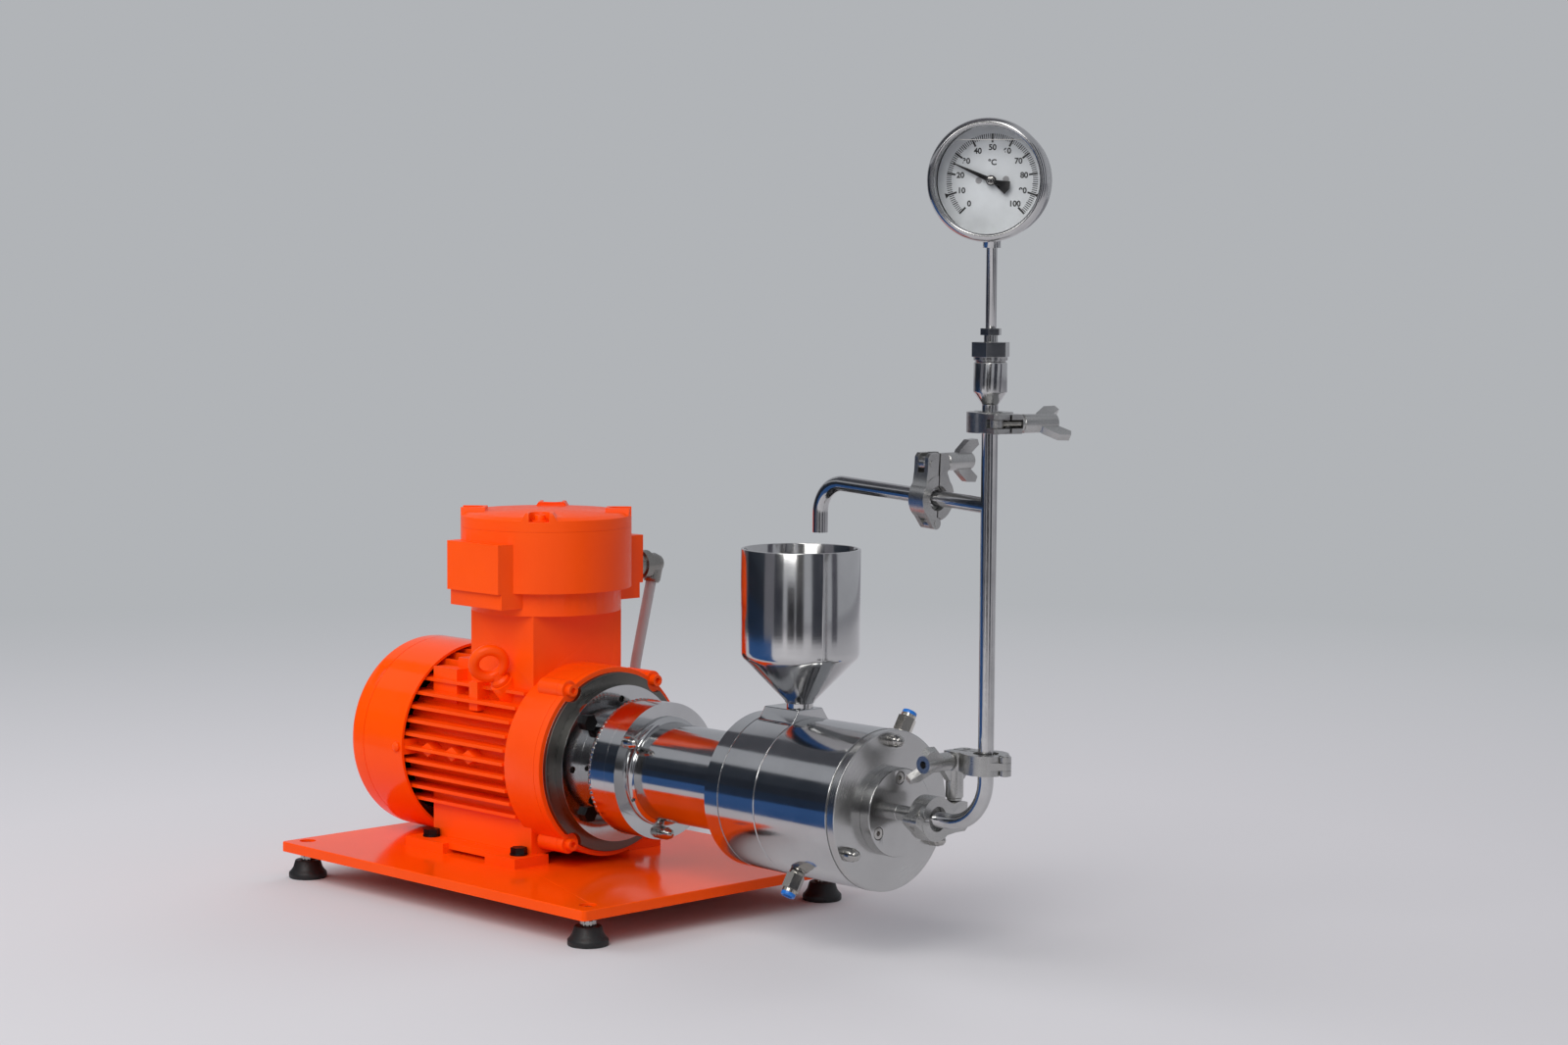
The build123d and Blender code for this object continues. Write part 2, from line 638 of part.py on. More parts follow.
# adapter between motor flange and bearing housing, with its weld bead
with BuildPart() as adapter:
    outline = [(flange_face, coupling_cavity_r), (flange_face, adapter_flange_r)]
    outline += [(adapter_flange_front, adapter_flange_r), (adapter_flange_front, adapter_hub_r)]
    outline += [(adapter_ring_rear, adapter_hub_r), (adapter_ring_rear, housing_r)]
    outline += [(joint_x, housing_r), (joint_x, coupling_cavity_r)]
    shaft_turned(outline)
    with BuildSketch(crosswise(0)) as bead:
        with Locations((adapter_ring_rear - 1.5, housing_r - 3.2)):
            Circle(3.2)
    revolve(bead.sketch, axis=Axis((0, 0, axis_z), (1, 0, 0)))
    rod(across(flange_face), 47.55, 3, Mode.SUBTRACT)
    for angle in flange_bolt_angles:
        rod(across(flange_face), 4.5, 10, Mode.SUBTRACT, polar(flange_bolt_circle_r, angle))
    for angle in (0, 90, 180, 270):
        rod(across(flange_face), 3.2, 10, Mode.SUBTRACT, polar(flange_bolt_circle_r, angle))
adapter.part.label = "adapter"
export_step(adapter.part, "parts/adapter.step")

# shaft coupling: two hubs and a spider
with BuildPart() as shaft_coupling:
    tube(-104, -78, 32, motor_shaft_r)
    tube(-68, -43, 32, mill_shaft_r - 3)
    tube(-78, -68, 30, 8)
shaft_coupling.part.label = "shaft_coupling"
export_step(shaft_coupling.part, "parts/shaft_coupling.step")

# bearing housing: rear flange, neck and the flange that carries the mill
step_x = housing_face + step_length
with BuildPart() as bearing_housing:
    with BuildSketch(crosswise(0)) as housing_profile:
        with BuildLine():
            Line((joint_x, 36), (joint_x, housing_r))
            Line((joint_x, housing_r), (housing_face, housing_r))
            Line((housing_face, housing_r), (housing_face, step_r))
            Line((housing_face, step_r), (step_x, step_r))
            RadiusArc((step_x, step_r), (step_x + step_fillet, neck_r), -step_fillet)
            Line((step_x + step_fillet, neck_r), (mill_rear, neck_r))
            Line((mill_rear, neck_r), (mill_rear, mill_r))
            Line((mill_rear, mill_r), (inlet_rear, mill_r))
            Line((inlet_rear, mill_r), (inlet_rear, mill_bearing_r))
            Line((inlet_rear, mill_bearing_r), (64, mill_bearing_r))
            Line((64, mill_bearing_r), (64, 22))
            Line((64, 22), (48, 22))
            Line((48, 22), (48, mill_bearing_r))
            Line((48, mill_bearing_r), (-35, mill_bearing_r))
            Line((-35, mill_bearing_r), (-35, 36))
            Line((-35, 36), (joint_x, 36))
        make_face()
    revolve(housing_profile.sketch, axis=Axis((0, 0, axis_z), (1, 0, 0)))
    for angle in housing_nut_angles:
        rod(across(joint_x), 3, 13, Mode.SUBTRACT, polar(housing_nut_r, angle))
    rod(across(housing_face), 1.6, 8, Mode.SUBTRACT, polar(step_r - 2.6, 207))
    leak_way = (0, -math.cos(leak_angle), math.sin(leak_angle))
    rod(Plane(origin=(leak_x, 0, axis_z), x_dir=(1, 0, 0), z_dir=leak_way), leak_r, 60, Mode.SUBTRACT)
    ring_groove(inlet_rear - 0.1, mill_r, 0.4)
bearing_housing.part.label = "bearing_housing"
export_step(bearing_housing.part, "parts/bearing_housing.step")

# mechanical seal cartridge in the housing's front bore
with BuildPart() as shaft_seal:
    seal_bore = mill_shaft_r + fit_gap
    cartridge = [(mill_rear - 10, seal_bore), (inlet_rear, seal_bore), (inlet_rear, mill_bearing_r)]
    cartridge += [(mill_rear, mill_bearing_r), (mill_rear, 24), (mill_rear - 10, 24)]
    shaft_turned(cartridge)
shaft_seal.part.label = "shaft_seal"
export_step(shaft_seal.part, "parts/shaft_seal.step")

with BuildPart() as mill_shaft:
    rod(across(-66), mill_shaft_r - 3, 31)
    rod(across(-35), mill_shaft_r, 233)
    rod(across(195), mill_shaft_r - 2, 6)
mill_shaft.part.label = "mill_shaft"
export_step(mill_shaft.part, "parts/mill_shaft.step")

# agitator discs with pumping holes, and the spacers between them
disc_xs = (112.0, 131.0, 150.0, 169.0, 188.0)
with BuildPart() as agitator_discs:
    for x in disc_xs:
        tube(x, x + 5, 42, mill_shaft_r)
        with BuildSketch(across(x)) as holes:
            with PolarLocations(29, 6):
                SlotOverall(16, 9)
        extrude(holes.sketch, amount=5, mode=Mode.SUBTRACT)
    for x in disc_xs[:-1]:
        tube(x + 5, x + 19, 19, mill_shaft_r)
agitator_discs.part.label = "agitator_discs"
export_step(agitator_discs.part, "parts/agitator_discs.step")

# inlet ring with the feed block that carries the hopper
with BuildPart() as inlet_ring:
    rod(across(inlet_rear), mill_r, jacket_rear - inlet_rear)
    with BuildSketch(across(98)) as block_profile:
        with BuildLine():
            far = [(-block_half_bottom, 58), (-block_half_bottom, 63), (-block_half_top, block_top - axis_z)]
            near = [(block_half_top, block_top - axis_z), (block_half_bottom, 63), (block_half_bottom, 58)]
            Polyline(*far, *near, close=True)
        make_face()
    extrude(block_profile.sketch, amount=jacket_rear - 98)
    rod(across(103), chamber_r, jacket_rear - 103, Mode.SUBTRACT)
    rod(across(inlet_rear), mill_shaft_r + 1, 8, Mode.SUBTRACT)
    rod(Plane.XY.offset(axis_z), feed_bore_r, block_top - axis_z, Mode.SUBTRACT, (hopper_x, 0))
inlet_ring.part.label = "inlet_ring"
export_step(inlet_ring.part, "parts/inlet_ring.step")

# cooling jacket: outer wall and end rings round the liner
with BuildPart() as cooling_jacket:
    wall = [(jacket_rear, liner_r), (jacket_rear, mill_r), (cover_rear, mill_r), (cover_rear, liner_r)]
    wall += [(cover_rear - 6.5, liner_r), (cover_rear - 6.5, jacket_inner_r)]
    wall += [(jacket_rear + 12, jacket_inner_r), (jacket_rear + 12, liner_r)]
    shaft_turned(wall)
    for x, angle in fitting_places:
        outward = (0, math.cos(math.radians(angle)), math.sin(math.radians(angle)))
        with BuildSketch(Plane(origin=(x, 0, axis_z), x_dir=(1, 0, 0), z_dir=outward)) as port:
            Circle(5)
        extrude(port.sketch, amount=80, mode=Mode.SUBTRACT)
    for angle in front_angles:
        rod(across(cover_rear), 2.5, -6, Mode.SUBTRACT, polar(nut_circle_r, angle))
cooling_jacket.part.label = "cooling_jacket"
export_step(cooling_jacket.part, "parts/cooling_jacket.step")

with BuildPart() as chamber_liner:
    tube(jacket_rear, cover_rear, liner_r, chamber_r)
chamber_liner.part.label = "chamber_liner"
export_step(chamber_liner.part, "parts/chamber_liner.step")

with BuildPart() as front_cover:
    rod(across(cover_rear), mill_r, cover_front - cover_rear)
    rod(across(cover_rear - 5), chamber_r - fit_gap, 5)
    rod(across(cover_rear - 5), 16, 20, Mode.SUBTRACT)
    rod(across(cover_front - 3), 19, 3, Mode.SUBTRACT)
    for angle in front_angles:
        rod(across(cover_rear), 3.2, 12, Mode.SUBTRACT, polar(nut_circle_r, angle))
        rod(across(cover_rear), 2.5, 12, Mode.SUBTRACT, polar(outlet_screw_circle_r, angle))
    ring_groove(cover_rear + 0.3, mill_r, 0.4)
front_cover.part.label = "front_cover"
export_step(front_cover.part, "parts/front_cover.step")

# separator screen: a slotted cup held between cover and outlet flange
screen_end = cover_front - 28
with BuildPart() as separator_screen:
    cup = [(screen_end, 0), (screen_end, 16), (cover_front - 3, 16), (cover_front - 3, 19)]
    cup += [(cover_front, 19), (cover_front, 13), (screen_end + 3, 13), (screen_end + 3, 0)]
    shaft_turned(cup)
    for k in range(12):
        with BuildSketch(across(screen_end + 4.5)) as slot:
            with Locations(Location((*polar(15, 30 * k), 0), (0, 0, 30 * k))):
                Rectangle(8, 1)
        extrude(slot.sketch, amount=8, mode=Mode.SUBTRACT)
separator_screen.part.label = "separator_screen"
export_step(separator_screen.part, "parts/separator_screen.step")


def ferrule(origin, along, back):
    # flange disc with a 20 degree sloped back; along points to the mating face
    slope_end = gasket_half + ferrule_rim + (ferrule_r - 9.0) * ferrule_slope
    points = [(-gasket_half, pipe_bore_r), (-gasket_half, ferrule_r)]
    points += [(-gasket_half - ferrule_rim, ferrule_r), (-slope_end, 9.0), (-slope_end - 1.5, pipe_r)]
    points += [(-back, pipe_r), (-back, pipe_bore_r)]
    turned(origin, along, points)


# outlet flange with its nozzle
with BuildPart() as outlet_flange:
    plate = [(cover_front, pipe_bore_r), (cover_front, outlet_plate_r), (outlet_face - 0.6, outlet_plate_r)]
    plate += [(outlet_face, outlet_plate_r - 0.6), (outlet_face, pipe_bore_r)]
    shaft_turned(plate)
    ferrule((outlet_clamp_x, 0, axis_z), (1, 0, 0), outlet_clamp_x - outlet_face)
    for angle in front_angles:
        spot = polar(outlet_screw_circle_r, angle)
        rod(across(cover_front), 2.7, 12, Mode.SUBTRACT, spot)
        rod(across(outlet_face), 5.4, -5.4, Mode.SUBTRACT, spot)
outlet_flange.part.label = "outlet_flange"
export_step(outlet_flange.part, "parts/outlet_flange.step")

# bright fasteners of the mill: domed nuts with studs, and outlet socket screws
with BuildPart() as mill_fasteners:
    dome = [(0, 0), (0, 6), (1, 6), (1, 5.6), (7, 5.6), (8, 5), (11, 4.2), (13, 2.4), (13.8, 0)]
    studs = [(housing_face, housing_nut_r, angle, 3, 13) for angle in housing_nut_angles]
    studs += [(cover_front, nut_circle_r, angle, 2.5, 15) for angle in front_angles]
    for x, radius, angle, stud_r, depth in studs:
        spot = polar(radius, angle)
        turned((x, spot[0], axis_z + spot[1]), (1, 0, 0), dome)
        rod(across(x), stud_r, -depth, at=spot)
    for angle in front_angles:
        spot = polar(outlet_screw_circle_r, angle)
        rod(across(outlet_face - 5.4), 4.9, 5, at=spot)
        rod(across(outlet_face - 5.4), 2.5, -14, at=spot)
        hexagon(across(outlet_face - 3.4), 4, 4, Mode.SUBTRACT, spot)
mill_fasteners.part.label = "mill_fasteners"
export_step(mill_fasteners.part, "parts/mill_fasteners.step")

# push-in coolant fittings
with BuildPart() as coolant_fittings:
    for x, angle in fitting_places:
        out_y = math.cos(math.radians(angle))
        out_z = math.sin(math.radians(angle))
        foot = (x, out_y * mill_r, axis_z + out_z * mill_r)
        frame = Plane(origin=foot, x_dir=(1, 0, 0), z_dir=(0, out_y, out_z))
        rod(frame.offset(-6), 5, 8)
        rod(frame.offset(0.3), 6.6, 2.5)
        hexagon(frame.offset(2.8), 14, 13)
        rod(frame.offset(15.8), 6.4, 3)
        rod(frame.offset(-6), fitting_bore_r, 26, Mode.SUBTRACT)
coolant_fittings.part.label = "coolant_fittings"
export_step(coolant_fittings.part, "parts/coolant_fittings.step")

# feed hopper
with BuildPart() as hopper:
    foot = hopper_neck_r - 1.4
    shell = [(block_top, feed_bore_r), (block_top, foot), (hopper_neck_top - 1, foot)]
    shell += [(hopper_neck_top, hopper_neck_r), (hopper_shoulder, hopper_r), (hopper_rim, hopper_r)]
    shell += [(hopper_rim, hopper_r - hopper_wall), (hopper_shoulder + 1, hopper_r - hopper_wall)]
    shell.append((hopper_neck_top - 1, feed_bore_r))
    turned((hopper_x, 0, 0), (0, 0, 1), shell)
hopper.part.label = "hopper"
export_step(hopper.part, "parts/hopper.step")

# pipework
riser_top = Vector(riser_x, 0, top_clamp_z)
rise = math.radians(arm_rise)
arm_way = Vector(-math.cos(rise), 0, math.sin(rise))
arm_root = Vector(riser_x, 0, arm_z)
arm_clamp = arm_root + arm_way * arm_clamp_reach

with BuildPart() as elbow_pipe:
    ferrule((outlet_clamp_x, 0, axis_z), (-1, 0, 0), 14)
    start = (outlet_clamp_x + 14, 0, axis_z)
    swept([start, (riser_x, 0, axis_z), (riser_x, 0, riser_clamp_z - 8)], [bend_r], pipe_r, pipe_bore_r)
    ferrule((riser_x, 0, riser_clamp_z), (0, 0, 1), 8)
elbow_pipe.part.label = "elbow_pipe"
export_step(elbow_pipe.part, "parts/elbow_pipe.step")

with BuildPart() as riser_pipe:
    straight = top_clamp_z - riser_clamp_z - 16
    riser_foot = Plane(origin=(riser_x, 0, riser_clamp_z + 8))
    rod(riser_foot, pipe_r, straight)
    with BuildSketch(Plane(origin=arm_root, z_dir=arm_way)) as branch:
        Circle(pipe_r)
    extrude(branch.sketch, amount=arm_clamp_reach - 8)
    rod(riser_foot, pipe_bore_r, straight, Mode.SUBTRACT)
    with BuildSketch(Plane(origin=arm_root, z_dir=arm_way)) as branch_bore:
        Circle(pipe_bore_r)
    extrude(branch_bore.sketch, amount=arm_clamp_reach - 8, mode=Mode.SUBTRACT)
    ferrule((riser_x, 0, riser_clamp_z), (0, 0, -1), 8)
    ferrule(riser_top, (0, 0, 1), 8)
    ferrule(arm_clamp, arm_way, 8)
riser_pipe.part.label = "riser_pipe"
export_step(riser_pipe.part, "parts/riser_pipe.step")

with BuildPart() as spout_pipe:
    ferrule(arm_clamp, arm_way * -1, 8)
    spout_corner = arm_root + arm_way * (spout_reach / math.cos(rise))
    spout_route = [arm_clamp + arm_way * 8, spout_corner, Vector(spout_corner.X, 0, spout_end)]
    swept(spout_route, [spout_bend_r], pipe_r, pipe_bore_r)
spout_pipe.part.label = "spout_pipe"
export_step(spout_pipe.part, "parts/spout_pipe.step")

# thermometer socket, its compression fitting and the gauge
with BuildPart() as thermometer_socket:
    ferrule(riser_top, (0, 0, -1), 8)
    wall = [(top_clamp_z + 8, pipe_bore_r), (top_clamp_z + 8, pipe_r), (socket_cone, pipe_r)]
    wall += [(socket_shoulder, socket_r), (socket_top - 1, socket_r), (socket_top, socket_r - 1)]
    wall += [(socket_top, 10), (socket_shoulder + 2, 10), (socket_cone, pipe_bore_r)]
    turned((riser_x, 0, 0), (0, 0, 1), wall)
thermometer_socket.part.label = "thermometer_socket"
export_step(thermometer_socket.part, "parts/thermometer_socket.step")

stem_r = 4.3
probe_r = 3.0
with BuildPart() as compression_fitting:
    collar = [(socket_top - 12, probe_r), (socket_top - 12, 10), (socket_top, 10), (socket_top, 12)]
    collar += [(socket_top + 1, 12), (socket_top + 1, 13.4), (nut_bottom, 13.4), (nut_bottom, probe_r)]
    turned((riser_x, 0, 0), (0, 0, 1), collar)
    hexagon(Plane(origin=(riser_x, 0, nut_bottom)), 27, nut_top - nut_bottom)
    rod(Plane(origin=(riser_x, 0, nut_top)), 5.5, small_nut_bottom - nut_top)
    hexagon(Plane(origin=(riser_x, 0, small_nut_bottom)), 15, small_nut_top - small_nut_bottom)
    rod(Plane(origin=(riser_x, 0, nut_bottom)), probe_r, small_nut_top - nut_bottom, Mode.SUBTRACT)
compression_fitting.part.label = "compression_fitting"
export_step(compression_fitting.part, "parts/compression_fitting.step")

heading = math.radians(gauge_heading)
gauge_out = Vector(math.cos(heading), math.sin(heading), 0)
gauge_side = Vector(-math.sin(heading), math.cos(heading), 0)
gauge_plane = Plane(origin=(riser_x, 0, gauge_z), x_dir=gauge_side, z_dir=gauge_out)
gauge_centre = Vector(riser_x, 0, gauge_z)

with BuildPart() as gauge_case:
    shell = [(case_back, 0), (case_back, 38), (case_back + 3, 45), (case_front - 3, 45)]
    shell += [(case_front - 3, 47), (case_front, 47), (case_front, 44), (dial_back, 44), (dial_back, 0)]
    turned(gauge_centre, gauge_out, shell)
    rod(Plane(origin=(riser_x, 0, stem_top)), 7, gauge_z - 43.8 - stem_top)
    rod(Plane(origin=(riser_x, 0, small_nut_top)), stem_r, stem_top - small_nut_top)
    rod(Plane(origin=(riser_x, 0, top_clamp_z - 40)), probe_r, small_nut_top - top_clamp_z + 40)
gauge_case.part.label = "gauge_case"
export_step(gauge_case.part, "parts/gauge_case.step")

# rounded bezel ring
with BuildPart() as gauge_bezel:
    ring = [(case_front, 43.6), (case_front, gauge_r - 1), (case_front + 2, gauge_r)]
    ring += [(case_front + 5, gauge_r - 0.6), (case_front + 7, gauge_r - 2), (case_front + 8, gauge_r - 4)]
    ring += [(case_front + 7, gauge_r - 6), (case_front + 4.5, gauge_r - 6.5), (case_front + 4.5, 43.6)]
    turned(gauge_centre, gauge_out, ring)
gauge_bezel.part.label = "gauge_bezel"
export_step(gauge_bezel.part, "parts/gauge_bezel.step")

with BuildPart() as gauge_glass:
    rod(gauge_plane.offset(case_front + 1.5), 43.6, 3)
gauge_glass.part.label = "gauge_glass"
export_step(gauge_glass.part, "parts/gauge_glass.step")

with BuildPart() as gauge_dial:
    rod(gauge_plane.offset(dial_back), dial_r, dial_face - dial_back)
    rod(gauge_plane.offset(dial_back), 1.5 + fit_gap, dial_face - dial_back, Mode.SUBTRACT)
gauge_dial.part.label = "gauge_dial"
export_step(gauge_dial.part, "parts/gauge_dial.step")

# pointer: angle from straight up, clockwise for the reader
pointer_angle = dial_sweep * (rest_temperature / 100 - 0.5)
with BuildPart() as gauge_pointer:
    rod(gauge_plane.offset(dial_face - 1.5), 1.5, 6)
    rod(gauge_plane.offset(dial_face + 3), 4, 2)
    tilt = math.radians(pointer_angle)
    aim = gauge_side * math.sin(tilt) + Vector(0, 0, math.cos(tilt))
    needle_plane = Plane(origin=gauge_centre + gauge_out * (dial_face + 3.4), x_dir=aim, z_dir=gauge_out)
    with BuildSketch(needle_plane) as needle:
        with BuildLine():
            tail = [(-3, -1.6), (-14, -5.5), (-16, 0), (-14, 5.5), (-3, 1.6)]
            Polyline(*tail, (0, 2), (33, 0.4), (33, -0.4), (0, -2), close=True)
        make_face()
    extrude(needle.sketch, amount=0.8)
gauge_pointer.part.label = "gauge_pointer"
export_step(gauge_pointer.part, "parts/gauge_pointer.step")

# the four ferrule clamps: name, centre, pipe direction, ear direction
ear_turn = math.radians(-21)
clamps = [
    ("outlet", Vector(outlet_clamp_x, 0, axis_z), Vector(1, 0, 0), Vector(0, 1, 0)),
    ("riser", Vector(riser_x, 0, riser_clamp_z), Vector(0, 0, 1), Vector(-1, 0, 0)),
    ("arm", arm_clamp, arm_way, Vector(math.sin(rise), 0, math.cos(rise))),
    ("top", riser_top, Vector(0, 0, 1), Vector(math.cos(ear_turn), math.sin(ear_turn), 0)),
]
clamp_frames = {name: Plane(origin=centre, x_dir=ear, z_dir=pipe) for name, centre, pipe, ear in clamps}


def half_jaw(frame, side, hinge_zone, ear):
    # side is -1 for the jaw with the bolt pivot, 1 for the one under the wing nut
    with BuildSketch(frame.offset(-jaw_half)) as outline:
        Circle(jaw_r)
        with Locations((0, -side * (jaw_r + 0.5))):
            Rectangle(3 * jaw_r, 2 * jaw_r + 2.2, mode=Mode.SUBTRACT)
    extrude(outline.sketch, amount=2 * jaw_half)
    with BuildSketch(frame.offset(-jaw_half + 0.5)) as ear_outline:
        with BuildLine():
            ear()
        make_face()
    extrude(ear_outline.sketch, amount=2 * jaw_half - 1)
    for low, high in hinge_zone:
        with BuildSketch(frame.offset(low)) as link:
            with BuildLine():
                web = [(hinge_x - 3, side * 3.7), (-13, side * 12.5), (-12, side * 0.6), (hinge_x, 0)]
                Polyline(*web, close=True)
            make_face()
            with Locations((hinge_x, 0)):
                Circle(knuckle_r)
        extrude(link.sketch, amount=high - low)


def groove_cut(frame, clearance):
    slope_lip = gasket_half + ferrule_rim + (ferrule_r - lip_r) * ferrule_slope + clearance
    slope_root = gasket_half + ferrule_rim + (ferrule_r - groove_r) * ferrule_slope + clearance
    wide = jaw_half + 0.5
    points = [(-wide, 0), (-wide, lip_r), (-slope_lip, lip_r), (-slope_root, groove_r)]
    points += [(slope_root, groove_r), (slope_lip, lip_r), (wide, lip_r), (wide, 0)]
    turned(frame.origin, frame.z_dir, points, Mode.SUBTRACT)


def cross_slot(frame, half, start):
    with BuildSketch(frame.offset(-half)) as gap:
        with Locations(((start + 45) / 2, 0)):
            Rectangle(45 - start, 60)
    extrude(gap.sketch, amount=2 * half, mode=Mode.SUBTRACT)


def fixed_ear():
    Polyline((9, -0.9), (ear_tip, -0.9), (ear_tip, -11), (33, -13.5), (22, -13.5), (11, -14.6), close=True)


def nut_ear():
    drop = math.sqrt(seat_r**2 - (ear_tip - pivot_x) ** 2)
    tip = (ear_tip, pivot_y + drop)
    top = (pivot_x, pivot_y + seat_r)
    inner = (2 * pivot_x - ear_tip, pivot_y + drop)
    Polyline((9, 0.9), (ear_tip, 0.9), tip)
    ThreePointArc(tip, top, inner)
    Polyline(inner, (12, 13.8), (9, 0.9))


def spot_plane(frame, x, y, z):
    return Plane(origin=place(frame, x, y, z), x_dir=frame.x_dir, z_dir=frame.z_dir)


def pin(frame, x, y, radius, half, head):
    rod(spot_plane(frame, x, y, -half), radius, 2 * half)
    for low in (-half - 0.6, half - 0.1):
        rod(spot_plane(frame, x, y, low), head, 0.7)


# pivot jaws: fixed on the ferrules, with their hinge and bolt pins
with BuildPart() as fixed_jaws:
    for frame in clamp_frames.values():
        with BuildPart(mode=Mode.PRIVATE) as jaw:
            fork = knuckle_half + 0.15
            half_jaw(frame, -1, ((-jaw_half + 0.5, -fork), (fork, jaw_half - 0.5)), fixed_ear)
            groove_cut(frame, 0)
            cross_slot(frame, 3.5, 20.5)
            rod(spot_plane(frame, hinge_x, 0, -fork), knuckle_r + 0.4, 2 * fork, Mode.SUBTRACT)
            pin(frame, hinge_x, 0, pin_r, jaw_half - 0.5, 2.8)
            pin(frame, pivot_x, pivot_y, pin_r, jaw_half - 0.5, 2.8)
        add(jaw.part)
fixed_jaws.part.label = "fixed_jaws"
export_step(fixed_jaws.part, "parts/fixed_jaws.step")

with BuildPart() as clamp_gaskets:
    for frame in clamp_frames.values():
        seal = [(-gasket_half, pipe_bore_r), (gasket_half, pipe_bore_r)]
        seal += [(gasket_half, ferrule_r), (-gasket_half, ferrule_r)]
        turned(frame.origin, frame.z_dir, seal)
clamp_gaskets.part.label = "clamp_gaskets"
export_step(clamp_gaskets.part, "parts/clamp_gaskets.step")

for name, frame in clamp_frames.items():
    with BuildPart() as moving_jaw:
        half_jaw(frame, 1, ((-knuckle_half, knuckle_half),), nut_ear)
        groove_cut(frame, 0.34)
        cross_slot(frame, 3.4, 24.4)
        for low, high in ((-jaw_half - 1, -knuckle_half), (knuckle_half, jaw_half + 1)):
            rod(spot_plane(frame, hinge_x, 0, low), knuckle_r + 0.4, high - low, Mode.SUBTRACT)
        rod(spot_plane(frame, hinge_x, 0, -9), pin_r + fit_gap, 18, Mode.SUBTRACT)
    moving_jaw.part.label = name + "_clamp_jaw"
    export_step(moving_jaw.part, "parts/" + name + "_clamp_jaw.step")

    with BuildPart() as swing_bolt:
        rod(spot_plane(frame, pivot_x, pivot_y, -3.3), 5.2, 6.6)
        rod(Plane(origin=place(frame, pivot_x, pivot_y + 3, 0), z_dir=frame.y_dir), bolt_r, bolt_length - 3)
        rod(spot_plane(frame, pivot_x, pivot_y, -4), pin_r + fit_gap, 8, Mode.SUBTRACT)
    swing_bolt.part.label = name + "_swing_bolt"
    export_step(swing_bolt.part, "parts/" + name + "_swing_bolt.step")

    seat = pivot_y + seat_r + seat_gap
    with BuildPart() as wing_nut:
        barrel = [(0, 0), (0, 6.2), (1.5, 6.2), (2.5, nut_r), (nut_length, nut_r - 0.3), (nut_length, 0)]
        turned(place(frame, pivot_x, seat, 0), frame.y_dir, barrel)
        with BuildSketch(spot_plane(frame, pivot_x, seat, -3)) as wings:
            for side in (-1, 1):
                root = [(5 * side, 30), (5 * side, 15), (9 * side, 17)]
                tip = [(17 * side, 27), (17.5 * side, 37), (13 * side, 39), (7 * side, 31)]
                with BuildLine():
                    Polyline(*root, *tip, close=True)
                make_face()
        extrude(wings.sketch, amount=6)
        thread = Plane(origin=place(frame, pivot_x, seat - 1, 0), z_dir=frame.y_dir)
        rod(thread, bolt_r + fit_gap, nut_length + 12, Mode.SUBTRACT)
    wing_nut.part.label = name + "_wing_nut"
    export_step(wing_nut.part, "parts/" + name + "_wing_nut.step")
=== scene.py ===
import bmesh
import bpy
import json
import math
import numpy as np
from mathutils import Matrix, Vector


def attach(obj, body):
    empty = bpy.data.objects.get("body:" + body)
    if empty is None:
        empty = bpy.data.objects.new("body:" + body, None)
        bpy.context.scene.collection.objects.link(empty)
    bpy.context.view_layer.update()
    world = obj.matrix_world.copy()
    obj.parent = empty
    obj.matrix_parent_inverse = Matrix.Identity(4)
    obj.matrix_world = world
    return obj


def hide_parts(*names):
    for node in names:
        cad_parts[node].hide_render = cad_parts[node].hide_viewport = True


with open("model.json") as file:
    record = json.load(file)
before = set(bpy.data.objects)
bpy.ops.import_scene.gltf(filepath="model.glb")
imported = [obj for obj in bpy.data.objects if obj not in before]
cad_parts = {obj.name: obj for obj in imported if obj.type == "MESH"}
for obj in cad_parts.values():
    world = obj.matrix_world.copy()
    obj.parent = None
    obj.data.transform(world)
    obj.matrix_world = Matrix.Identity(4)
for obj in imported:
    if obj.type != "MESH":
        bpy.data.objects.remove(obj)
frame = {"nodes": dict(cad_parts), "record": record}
nodes = frame["nodes"]
record = frame["record"]
bodyOf = {node: body for body, names in record["behaviour"]["bodies"].items() for node in names}
slotOf = {part["node"]: part["material_slot"] for part in record["subparts"]}
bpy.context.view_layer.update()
milli = 0.001
micro = 0.000001
axisZ = 0.125                  # height of the mill shaft above the table
axisHigh = axisZ / milli
hopperX = 126.0                # mm
riserX = 335.5
upright = Vector((0, 0, 1))
mergeWithin = 0.00001          # points closer than this are one
print("frame loaded:", len(nodes), "nodes")


def addObject(name, data):
    item = bpy.data.objects.new(name, data)
    bpy.context.scene.collection.objects.link(item)
    return item


camera = {
    "place": (1.9837, -1.8440, 0.5725),
    "forward": (-0.7111, 0.6982, -0.0830),
    "roll": 0.363,             # degrees, uprights lean to the right
    "lens": 72.24,
    "sensor": 36.0,
    "farthest": 60.0,
}
lookAt = Vector(camera["forward"]).normalized()
levelRight = lookAt.cross(upright).normalized()
levelUp = levelRight.cross(lookAt)
lean = math.radians(camera["roll"])
camRight = levelRight * math.cos(lean) + levelUp * math.sin(lean)
camUp = levelUp * math.cos(lean) - levelRight * math.sin(lean)
camData = bpy.data.cameras.new("photoCamera")
camData.lens = camera["lens"]
camData.sensor_width = camera["sensor"]
camData.sensor_fit = "HORIZONTAL"
camData.clip_end = camera["farthest"]
camObject = addObject("photoCamera", camData)
facing = Matrix((camRight, camUp, -lookAt)).transposed().to_4x4()
camObject.matrix_world = Matrix.Translation(camera["place"]) @ facing
bpy.context.scene.camera = camObject

